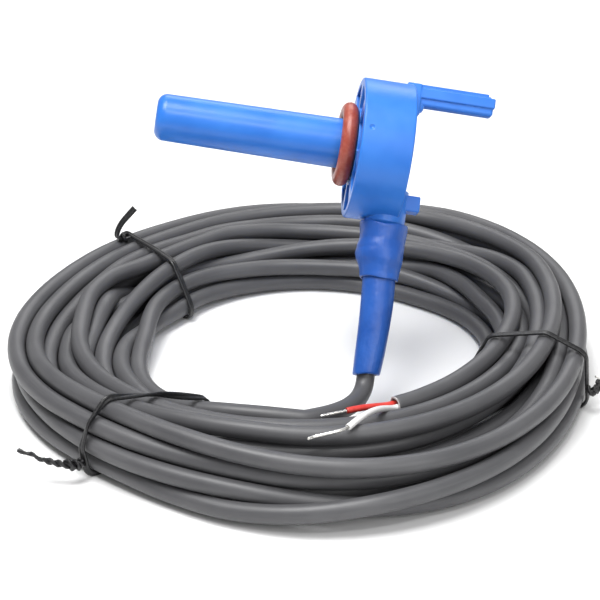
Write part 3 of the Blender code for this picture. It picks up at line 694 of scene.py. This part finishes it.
def make_arm():
    """The rear arm: a bar in two steps with a rib along its top, a ledge behind, a gusset and a root."""
    back, depth = BARREL_LENGTH, ARM_HALF_DEPTH
    root_high = (back + 2.3, depth + 0.7, LEDGE_TOP - 0.5)
    gusset_high = (back + 3.4, depth - 1.9, ARM_LOW + 1.1)
    upper_high = (ARM_END, depth - 1.6, ARM_HIGH)
    lower_high = (ARM_END - 0.25, depth - 1.8, ARM_STEP + 0.6)
    rib_high = (ARM_END - 1.0, -1.1, ARM_HIGH + 0.5)
    ledge_high = (LEDGE_END, depth + 0.4, LEDGE_TOP)
    return [
        block("arm_root", (back - 1.5, -depth - 0.15, 9.4), root_high, 0.45),
        block("arm_gusset", (back - 1.4, -depth + 0.7, 10.6), gusset_high, 0.95, 6),
        block("arm_upper", (back - 0.7, -depth, ARM_STEP - 0.4), upper_high, 0.4, 5),
        block("arm_lower", (back - 0.9, -depth + 0.6, ARM_LOW), lower_high, 0.8, 6),
        block("arm_groove_rib", (back - 1.3, -depth + 0.9, ARM_HIGH - 0.9), rib_high, 0.2),
        block("arm_ledge", (back - 1.1, -0.8, ARM_HIGH - 1.0), ledge_high, 0.3),
    ]


def make_nub():
    """The short square nub at the bottom of the rear face, on a low step."""
    return [
        block("nub", (BARREL_LENGTH - 1.3, -2.6, -15.0), (NUB_END, 1.6, -11.0), 0.45),
        block("nub_step", (BARREL_LENGTH - 1.6, -3.0, -15.6), (BARREL_LENGTH + 1.1, 2.0, -11.3), 0.35),
    ]


def make_neck():
    """The cable neck, and the thinner spigot under it that the sleeves grip."""
    profile = [(SPIGOT_END, 0.0), (SPIGOT_END, SPIGOT_RADIUS - 0.3), (SPIGOT_END + 0.3, SPIGOT_RADIUS)]
    profile += [(NECK_END, SPIGOT_RADIUS), (NECK_END + 1.0, NECK_RADIUS)]
    profile += [(NECK_TOP, NECK_RADIUS + 0.2), (NECK_TOP, 0.0)]
    return turned("neck", profile, 96, centre=(NECK_STATION, 0.0, 0.0), along="Z")


def round_mark(name, station, radius, y, z):
    """A shallow round cutter across the rear face, as an ejector pin leaves."""
    top = station + 2.0
    profile = [(station, 0.0), (station, radius - 0.1), (station + 0.1, radius), (top, radius), (top, 0.0)]
    return turned(name, profile, 40, centre=(0.0, y, z))


def make_marks():
    """Ejector marks and the gate recess on the rear face, and a small sink in the barrel's side."""
    floor = BARREL_LENGTH - MARK_DEPTH
    marks = [round_mark("gate", floor - 0.3, GATE_RADIUS, 0.0, 0.0)]
    for angle in EJECTOR_ANGLES:
        spoke = math.radians(angle)
        y, z = EJECTOR_CIRCLE * math.cos(spoke), EJECTOR_CIRCLE * math.sin(spoke)
        marks.append(round_mark("ejector", floor, EJECTOR_RADIUS, y, z - BARREL_DROP))
    spoke = math.radians(SINK_ANGLE)
    out = BARREL_RADIUS + 0.5
    sink = arc(2.2, 0.0, SINK_RADIUS, 180, 0, 12)
    sink[0], sink[-1] = (sink[0][0], 0.0), (sink[-1][0], 0.0)
    centre = (0.0, out * math.cos(spoke), out * math.sin(spoke) - BARREL_DROP)
    marks.append(turned("sink", sink, 32, centre=centre))
    return marks


def make_bores():
    """Cutters for the stem's closed bore and for the cable's way in through the neck."""
    chamfer = 0.8
    stem_top = NECK_STATION + 0.6
    stem = [(-BORE_DEPTH, 0.0), (-BORE_DEPTH, BORE_RADIUS - chamfer), (-BORE_DEPTH + chamfer, BORE_RADIUS)]
    stem += [(stem_top, BORE_RADIUS), (stem_top, 0.0)]
    neck_low = SPIGOT_END - 1.0
    neck = [(neck_low, 0.0), (neck_low, NECK_BORE_RADIUS), (0.0, NECK_BORE_RADIUS), (0.0, 0.0)]
    return turned("stem_bore", stem, 64), turned("neck_bore", neck, 48, (NECK_STATION, 0.0, 0.0), "Z")


def make_housing(materials):
    """The blue moulding: barrel, stem, arm, nub and neck in one piece, cored from the front."""
    housing = make_barrel()
    combine(housing, [make_stem(), make_neck(), *make_nub(), *make_arm()], "UNION")
    stem_bore, neck_bore = make_bores()
    cutters = joined("cutters", make_pockets() + make_marks() + [stem_bore])
    combine(housing, [cutters, neck_bore], "DIFFERENCE")
    housing.data.transform(HEAD)
    finish_moulding(housing, 38.0)
    place(housing, materials["blue_moulding"], "probe", "blue_moulding", "probe_housing")


def make_o_ring(materials):
    """The sealing ring, with the fine flash line that its mould leaves inside and outside."""
    turns, sides = 180, 48
    centre_radius = stem_radius(RING_STATION) + RING_SECTION + RING_CLEARANCE
    angle = 2 * math.pi * np.arange(sides) / sides
    outside, inside = (np.exp(-((np.cos(angle) - side) / 0.006) ** 2) for side in (1, -1))
    flash = FLASH_HEIGHT * (outside + inside)
    size = RING_SECTION - FLASH_HEIGHT + flash
    section = size[:, None] * np.stack([np.sin(angle), np.cos(angle)], axis=1)
    around = (2 * math.pi * np.arange(turns) / turns)[:, None]
    radius = centre_radius + section[None, :, 1]
    station = np.broadcast_to(RING_STATION + section[None, :, 0], (turns, sides))
    rings = np.stack([station, radius * np.cos(around), radius * np.sin(around)], axis=-1)
    ring = ring_mesh("sealing_o_ring", rings, closed=True, matrix=HEAD)
    place(ring, materials["red_rubber"], "sealing_ring", "red_rubber", "o_ring")


# ---------------------------------------------------------------- sleeves

def boot_centre(height):
    """Centre line of the sleeves: straight down from the neck, with a slight bow to the rear."""
    share = np.clip((SPIGOT_END - height) / (SPIGOT_END - SLEEVE_END), 0.0, 1.0)
    return NECK_STATION + SLEEVE_BOW * np.sin(math.pi * share)


def shrunk_sleeve(name, rows, inner, top, bottom, ripple):
    """A thin shrunk tube: outside radius by height, uneven top and bottom edges, and slack ripples."""
    sides, steps = 96, 90
    angle = (2 * math.pi * np.arange(sides) / sides)[None, :]
    share = (np.arange(steps) / (steps - 1))[:, None]
    upper, lower = rows[0][0] + top(angle), rows[-1][0] + bottom(angle)
    height = upper + (lower - upper) * share
    knots = [row[0] for row in rows][::-1]
    outer = np.interp(height, knots, [row[1] for row in rows][::-1])
    for _ in range(3):
        outer[1:-1] = (outer[:-2] + 2 * outer[1:-1] + outer[2:]) / 4
    edge = np.minimum(share, 1 - share) * steps
    outer = outer + ripple(angle, height) - 0.12 * np.exp(-edge / 0.8)
    inside = np.minimum(np.interp(height, knots, inner[::-1]), outer - 0.3)
    rings = []
    for radius, level in ((outer, height), (inside[::-1], height[::-1])):
        rings.append(np.stack([
            boot_centre(level) + radius * np.cos(angle), radius * np.sin(angle), level,
        ], axis=-1))
    rings = np.concatenate(rings)
    obj = ring_mesh(name, rings, closed=True, matrix=HEAD)
    around = [np.broadcast_to(5.0 * wave, rings.shape[:2]) for wave in (np.cos(angle), np.sin(angle))]
    values = np.stack([rings[..., 2], *around], axis=-1)
    attribute = obj.data.attributes.new("lie", "FLOAT_VECTOR", "POINT")
    attribute.data.foreach_set("vector", values.astype(np.float32).ravel())
    return obj


def make_sleeves(materials):
    """Both sleeves, from (height, outside radius) rows and edges that are a little uneven."""
    wide = [
        (-18.9, 5.95), (-20.2, 5.9), (-23.0, 5.6), (-25.5, 5.75),
        (-28.0, 5.6), (-29.8, 5.1), (-31.2, 4.85), (-32.6, 4.75),
    ]
    wide_inner = [5.3, 4.4, 4.4, 4.4, 4.6, 4.45, 4.3, 4.3]
    narrow = [
        (-28.4, 3.9), (-30.5, 4.0), (-33.0, 4.05), (-38.0, 4.05),
        (-45.0, 3.85), (-51.0, 3.65), (SLEEVE_END, 3.35),
    ]

    def wide_top(angle):
        return 0.45 * np.cos(2 * angle) + 0.14 * np.sin(5 * angle + 0.8)

    def wide_bottom(angle):
        return 0.18 * np.sin(2 * angle + 1.0) + 0.08 * np.sin(5 * angle)

    def wide_ripple(angle, height):
        """A slack bulge on the side towards the stem's tip, creased across, and low waves all round."""
        bulge = np.exp(-((height + 26.0) / 2.4) ** 2) * np.exp(-((np.cos(angle) + 1) / 0.7) ** 2)
        crease = 0.45 * np.exp(-((height + 25.4) / 0.7) ** 2)
        waves = 0.06 * np.sin(3 * angle + 0.5 * height) + 0.05 * np.sin(5 * angle - 0.9 * height + 1.0)
        return 0.5 * bulge * (1 - crease) + waves

    def narrow_bottom(angle):
        return 0.3 * np.cos(angle) + 0.08 * np.sin(3 * angle)

    def narrow_ripple(angle, height):
        return 0.035 * np.sin(3 * angle + 0.3 * height) + 0.02 * np.sin(7 * angle + 0.1 * height)

    collar = shrunk_sleeve("neck_shrink_sleeve", wide, wide_inner, wide_top, wide_bottom, wide_ripple)
    place(collar, materials["blue_sleeve"], "probe", "blue_sleeve", "neck_sleeve")
    narrow_inner = [2.6] * len(narrow)
    boot = shrunk_sleeve(
        "cable_shrink_sleeve", narrow, narrow_inner, narrow_bottom, narrow_bottom, narrow_ripple,
    )
    place(boot, materials["blue_sleeve"], "probe", "blue_sleeve", "cable_sleeve")


# ---------------------------------------------------------------- cable

def jacket_rings(path, sides):
    """Rings of the grey jacket along a path, with the slight unevenness of an extrusion."""
    run = run_length(path)[:, None, None]
    radius = CABLE_RADIUS * (1 - 0.006 + 0.004 * np.sin(run / 7.3) + 0.002 * np.sin(run / 2.9 + 1.0))
    return sweep(path, circle(sides)[None] * radius)


def cable_tube(name, path, sides=24):
    """A length of jacket with square ends."""
    tube = ring_mesh(name, jacket_rings(path, sides))
    tube.data.set_sharp_from_angle(angle=math.radians(50.0))
    add_lie(tube, path, sides, CABLE_RADIUS)
    return tube


def coil_path():
    """The lead's centre line through the coil, from its flexing part to the stripped end."""
    return smooth_path(ring_centres("cable_coil", coil_start(), 6), 8)


def make_coil(path, materials):
    """The coiled jacket, ending in a cut edge round a shallow recess where the cores come out."""
    sides = 24
    rings = jacket_rings(path, sides)
    ahead = unit(path[-1] - path[-2])
    spokes = unit(rings[-1] - path[-1])
    ragged = 0.12 * np.sin(3 * np.arange(sides) * 2 * math.pi / sides)[:, None] * ahead
    lip = [
        path[-1] + 0.18 * ahead + ragged + (CABLE_RADIUS - 0.1) * spokes,
        path[-1] + 0.22 * ahead + ragged + JACKET_INNER_RADIUS * spokes,
        path[-1] - 0.3 * ahead + (JACKET_INNER_RADIUS - 0.06) * spokes,
        path[-1] - JACKET_RECESS * ahead + (JACKET_INNER_RADIUS - 0.1) * spokes,
    ]
    rings = np.concatenate([rings, np.array(lip)])
    coil = ring_mesh("coil_jacket", rings)
    coil.data.set_sharp_from_angle(angle=math.radians(50.0))
    add_lie(coil, np.vstack([path, np.repeat(path[-1:], len(lip), axis=0)]), sides, CABLE_RADIUS)
    place(coil, materials["grey_jacket"], "coil", "grey_jacket", "cable_coil")
    coil.data.materials.append(jacket_cut())
    first_cut = (len(path) - 1) * sides
    for polygon in coil.data.polygons:
        if min(polygon.vertices) >= first_cut:
            polygon.material_index = 1


def make_tail(materials):
    """Jacket inside the sleeves."""
    heights = np.linspace(-27.8, SLEEVE_END, 40)
    local = np.stack([boot_centre(heights), 0 * heights, heights], axis=1)
    path = np.array([HEAD @ Vector(p * MM) for p in local]) / MM
    tail = cable_tube("tail_jacket", path)
    place(tail, materials["grey_jacket"], "probe", "grey_jacket", "cable_tail")
    return path


def make_lead(coil, tail, materials):
    """The flexing lead in two lengths, each reaching a little way into the jacket that it continues."""
    rings = ring_centres("cable_lead", coil[0], 12)
    tucked_start, tucked_end = coil[2:0:-1], tail[-1:-4:-1]
    through = smooth_path(np.vstack([tucked_start, coil[0], rings, tucked_end]), 8)
    path = even_path(through, 0.8)
    half = len(path) // 2
    leaves = np.linalg.norm(path - coil[0], axis=1).argmin()
    enters = np.linalg.norm(path - tail[-1], axis=1).argmin()
    reach = 14
    near = cable_tube("lead_jacket_coil_end", path[: half + 1])
    bend = ("coil", "lead", path[leaves] * MM, path[leaves + reach] * MM)
    place(near, materials["grey_jacket"], bend, "grey_jacket", "cable_lead")
    far = cable_tube("lead_jacket_sleeve_end", path[half:])
    bend = ("lead", "probe", path[enters - reach] * MM, path[enters] * MM)
    place(far, materials["grey_jacket"], bend, "grey_jacket", "cable_lead")


def make_core(colour, coil, materials):
    """One stripped core: insulation that comes out of the jacket, and its tinned strands."""
    end = coil[-1]
    ahead = unit(coil[-1] - coil[-2])
    centres = ring_centres(f"{colour}_conductor", end, 8)
    centres = np.vstack([centres[0] - 1.2 * ahead, centres])
    line = even_path(smooth_path(centres, 8), 0.2)
    insulated = node_points(f"{colour}_insulation")
    reach = max(np.linalg.norm(insulated - end, axis=1))
    covered = line[np.linalg.norm(line - end, axis=1) < reach]
    bend_start, bend_end = 4, 22
    bend = ("coil", f"{colour}_core", line[bend_start] * MM, line[bend_end] * MM)

    count, sides = len(covered), 24
    outer = np.full(count, CORE_RADIUS)
    outer[-3:] = CORE_RADIUS * np.array((0.995, 0.97, 0.9))
    rings = [sweep(covered, circle(sides)[None] * outer[:, None, None])]
    rings.append(sweep(covered, circle(sides, CONDUCTOR_RADIUS + 0.1))[::-1])
    tube = ring_mesh(f"{colour}_core_insulation", np.concatenate(rings), closed=True)
    place(tube, materials[f"{colour}_core"], bend, f"{colour}_core", f"{colour}_insulation")

    sides = 42
    angle = 2 * math.pi * np.arange(sides) / sides
    lobes = 0.9 + 0.1 * np.abs(np.cos(3 * angle))
    left = np.linalg.norm(line - line[-1], axis=1)
    taper = np.sqrt(1 - (1 - np.clip(left / 0.34, 0.0, 0.999)) ** 2)
    section = circle(sides, CONDUCTOR_RADIUS)[None] * lobes[None, :, None] * taper[:, None, None]
    strands = ring_mesh(f"{colour}_core_strands", sweep(line, section, turn=run_length(line) * 0.9))
    place(strands, materials["tinned_wire"], bend, "tinned_wire", f"{colour}_conductor")


# ---------------------------------------------------------------- ties

def band_angle(angle, skew, radius):
    """Angle round the coil that a tie's band has at this radius."""
    return angle + np.degrees(skew * (radius - TIE_PIVOT) / radius)


def crossings(path, angle, skew):
    """Radius and height of each turn of the coil where it passes under a tie."""
    around = path[:, :2] - COIL_AXIS
    distance = np.linalg.norm(around, axis=1)
    passed = -np.degrees(np.unwrap(np.arctan2(around[:, 1], around[:, 0])))
    first = math.ceil((passed[0] + angle) / 360.0)
    last = math.floor((passed[-1] + angle) / 360.0)
    straight = 360.0 * np.arange(first, last + 1)
    wanted = straight - angle
    for _ in range(3):
        wanted = straight - band_angle(angle, skew, np.interp(wanted, passed, distance))
    return np.stack([np.interp(wanted, passed, distance), np.interp(wanted, passed, path[:, 2])], axis=1)


def convex_hull(points):
    """Corners of the convex hull, anticlockwise."""
    ordered = sorted(map(tuple, points))
    chains = []
    for sequence in (ordered, ordered[::-1]):
        chain = []
        for p in sequence:
            while len(chain) > 1:
                (ax, ay), (bx, by) = chain[-2], chain[-1]
                if (bx - ax) * (p[1] - ay) - (by - ay) * (p[0] - ax) > 0:
                    break
                chain.pop()
            chain.append(p)
        chains.append(chain[:-1])
    return np.array(chains[0] + chains[1])


def tie_point(angle, outward, along, up):
    """A point from its distances out from the coil's axis, round the coil and up from the floor."""
    turn = math.radians(angle)
    out = np.array((math.cos(turn), math.sin(turn), 0.0))
    round_coil = np.array((-math.sin(turn), math.cos(turn), 0.0))
    return COIL_BASE + (outward * out + along * round_coil + np.array((0.0, 0.0, up)))


def tie_outline(path, angle, skew, step=0.35):
    """Evenly spaced (radius, height) points of the band round the bundle, rounded at its corners."""
    reach = CABLE_RADIUS + TIE_REACH
    rims = crossings(path, angle, skew)[:, None] + circle(36, reach)[None]
    hull = convex_hull(rims.reshape(-1, 2))
    closed = np.vstack([hull, hull[:1]])
    run = run_length(closed)
    even = np.linspace(0.0, run[-1], round(run[-1] / step), endpoint=False)
    return np.stack([np.interp(even, run, closed[:, k]) for k in range(2)], axis=1)


def ribbon_section(sides=28):
    """A flat strip with a rounded bead along each side and a groove between them."""
    angle = 2 * math.pi * np.arange(sides) / sides
    across = TIE_HALF_WIDTH * np.cos(angle)
    thickness = 0.5 * (1 - 0.5 * np.exp(-((across / 0.3) ** 2)))
    return np.stack([across, thickness * np.sin(angle)], axis=1)


def make_band(name, outline, angle, skew, twist):
    """The band: its ribbon swept round the outline, twisted where the tie is twisted."""
    centre = outline.mean(axis=0)
    ahead = unit(np.roll(outline, -1, axis=0) - np.roll(outline, 1, axis=0))
    normal = np.stack([ahead[:, 1], -ahead[:, 0]], axis=1)
    normal *= np.sign(((outline - centre) * normal).sum(axis=1))[:, None]
    run = run_length(np.vstack([outline, outline[:1]]))
    turns = round(twist * run[-1] / (2 * math.pi))
    turn = 2 * math.pi * turns * run[:-1] / run[-1]
    section = ribbon_section()
    rings = []
    for (r, z), (nr, nz), roll, at in zip(outline, normal, turn, run):
        rib = 1 + 0.05 * math.sin(2 * math.pi * at / 0.9)
        side = section[:, 0] * math.cos(roll) - section[:, 1] * math.sin(roll)
        lift = rib * (section[:, 0] * math.sin(roll) + section[:, 1] * math.cos(roll))
        here = band_angle(angle, skew, r)
        rings.append([tie_point(here, r + b * nr, a, z + b * nz) for a, b in zip(side, lift)])
    return ring_mesh(name, np.array(rings), closed=True)


def cord(name, path, radius):
    """One end of a tie: a ribbed cord with blunt ends."""
    run = run_length(path)
    rib = 1 + 0.07 * np.sin(2 * math.pi * run / 0.8)
    blunt = np.sqrt(1 - (1 - np.clip(np.minimum(run, run[-1] - run) / 0.25, 0.0, 0.99)) ** 2)
    size = rib * np.maximum(blunt, 0.35)
    section = circle(14, radius) * (1.0, 0.72)
    return ring_mesh(name, sweep(path, section[None] * size[:, None, None], turn=1.1 * run))


def knot_wrap(name, line):
    """The turns of tie wound round the start of its tail."""
    first, second = path_frames(line)
    wraps = np.linspace(0.0, WRAP_TURNS * 2 * math.pi, 60)
    wrap_start, facing = 4, 6
    middle = line[np.clip(np.round(wrap_start + wraps).astype(int), 0, len(line) - 1)]
    spokes = np.cos(wraps)[:, None] * first[facing] + np.sin(wraps)[:, None] * second[facing]
    return cord(f"{name}_wrap", middle + spokes, WRAP_RADIUS)


def make_tail_cords(name, line):
    """The tie's two ends: wound together near the knot, one of them running on as the tail."""
    first, second = path_frames(line)
    run = run_length(line)
    lay, spread = 4.2, 0.5
    spin = 2 * math.pi * run / lay
    apart = spread * np.clip(1.2 - run / run[-1], 0.0, 1.0)
    shares_of_tail = (1.0, 0.62)
    cords = []
    for i, share in enumerate(shares_of_tail):
        phase = spin + math.pi * i
        strand = line + apart[:, None] * (np.cos(phase)[:, None] * first + np.sin(phase)[:, None] * second)
        strand = strand[: max(6, round(share * len(strand)))]
        cords.append(cord(f"{name}_{i}", strand, CORD_RADIUS))
    return cords


def make_tail_strip(name, line):
    """A tail that stayed flat, cut square at its end."""
    roll = np.linspace(1.6, 2.3, len(line))
    return ring_mesh(f"{name}_strip", sweep(line, ribbon_section(), turn=roll))


def make_ties(path, materials):
    """Each tie's band, and beside its knot the tail and the turns wound round it."""
    for name, (angle, skew, twist, knot_angle, tail) in TIES.items():
        outline = tie_outline(path, angle, skew)
        centre = outline.mean(axis=0)
        away = np.degrees(np.arctan2(outline[:, 1] - centre[1], outline[:, 0] - centre[0]))
        knot_r, knot_z = outline[np.abs((away - knot_angle + 180.0) % 360.0 - 180.0).argmin()]
        here = band_angle(angle, skew, knot_r)
        root = knot_r + 0.15
        points = [tie_point(here, root, 0.0, knot_z)]
        points += [tie_point(here, root + out, along, knot_z + up) for out, along, up in tail]
        band = make_band(f"{name}_band", outline, angle, skew, twist)
        place(band, materials["black_tie"], "coil", "black_tie", name)
        line = even_path(smooth_path(points, 12), 0.25)
        tail_parts = [make_tail_strip(name, line)] if name == FLAT_TAIL else make_tail_cords(name, line)
        ends = joined(f"{name}_ends", [*tail_parts, knot_wrap(name, line)])
        place(ends, materials["black_tie"], "coil", "black_tie", name)


def make_wire_curl(materials):
    """Bare wire that has come out of the right-hand tie's covering."""
    low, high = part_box("tie_right_wire")
    far_corner = np.array((high.x, low.y, low.z)) / MM
    centres = ring_centres("tie_right_wire", far_corner, 8)
    path = smooth_path(centres, 4)
    curl = ring_mesh("tie_right_bare_wire", sweep(path, circle(16, BARE_WIRE_RADIUS)))
    place(curl, materials["tinned_wire"], "coil", "tinned_wire", "tie_right_wire")


# ---------------------------------------------------------------- studio

def make_floor():
    """A wide pale floor just under the object."""
    size, steps = 6000.0, 4
    grid = np.linspace(-size / 2, size / 2, steps + 1)
    points = [(x, y, -0.02) for y in grid for x in grid]
    faces = []
    for i in range(steps):
        for j in range(steps):
            a = i * (steps + 1) + j
            faces.append((a, a + 1, a + steps + 2, a + steps + 1))
    floor = make_mesh("floor", points, faces)
    floor.data.materials.append(pale_floor())


def area_light(name, place_mm, size_mm, watts, target_mm=(0.0, 0.0, 30.0)):
    light = bpy.data.lights.new(name, "AREA")
    light.shape = "RECTANGLE"
    light.size, light.size_y = (s * MM for s in size_mm)
    light.energy = watts
    obj = bpy.data.objects.new(name, light)
    bpy.context.scene.collection.objects.link(obj)
    obj.location = Vector(place_mm) * MM
    aim = Vector(target_mm) * MM - obj.location
    obj.rotation_euler = aim.to_track_quat("-Z", "Y").to_euler()


def make_lights():
    """A large key overhead, fills in front and behind, and a small bright one for sharp highlights."""
    area_light("key", (-120.0, -60.0, 640.0), (360.0, 360.0), 4.9)
    area_light("front", (330.0, -520.0, 330.0), (260.0, 340.0), 1.1)
    area_light("rear", (60.0, 520.0, 420.0), (420.0, 260.0), 1.0)
    area_light("spark", (40.0, -330.0, 470.0), (60.0, 60.0), 0.5)
    world = bpy.data.worlds.new("studio")
    world.use_nodes = True
    background = world.node_tree.nodes["Background"]
    background.inputs["Color"].default_value = (1.0, 1.0, 1.0, 1.0)
    background.inputs["Strength"].default_value = WORLD_STRENGTH
    bpy.context.scene.world = world


def make_camera():
    """A long lens from the front, a little above the object, aimed over the middle of the coil."""
    camera = bpy.data.cameras.new("camera")
    camera.lens = CAMERA_LENS
    camera.sensor_width = CAMERA_SENSOR
    camera.shift_y = CAMERA_SHIFT
    camera.clip_start = 0.01
    obj = bpy.data.objects.new("camera", camera)
    bpy.context.scene.collection.objects.link(obj)
    obj.location = Vector((COIL_AXIS[0], COIL_AXIS[1] - CAMERA_BACK, CAMERA_HEIGHT)) * MM
    obj.rotation_euler = (math.radians(90.0 - CAMERA_DOWN), 0.0, 0.0)
    bpy.context.scene.camera = obj


# ---------------------------------------------------------------- build

def dress_kept_nodes(materials):
    """Materials for the CAD pieces inside the stem, which stay as they are."""
    slots = {part["node"]: part["material_slot"] for part in frame["record"]["subparts"]}
    for name, obj in frame["nodes"].items():
        if obj.hide_render:
            continue
        obj.data.materials.clear()
        obj.data.materials.append(materials[slots[name]])


def main():
    materials = make_materials()
    make_housing(materials)
    make_o_ring(materials)
    make_sleeves(materials)
    coil = coil_path()
    make_coil(coil, materials)
    tail = make_tail(materials)
    make_lead(coil, tail, materials)
    make_core("red", coil, materials)
    make_core("white", coil, materials)
    make_ties(coil, materials)
    make_wire_curl(materials)
    dress_kept_nodes(materials)
    make_floor()
    make_lights()
    make_camera()
    bpy.context.scene.view_settings.view_transform = "Standard"


main()
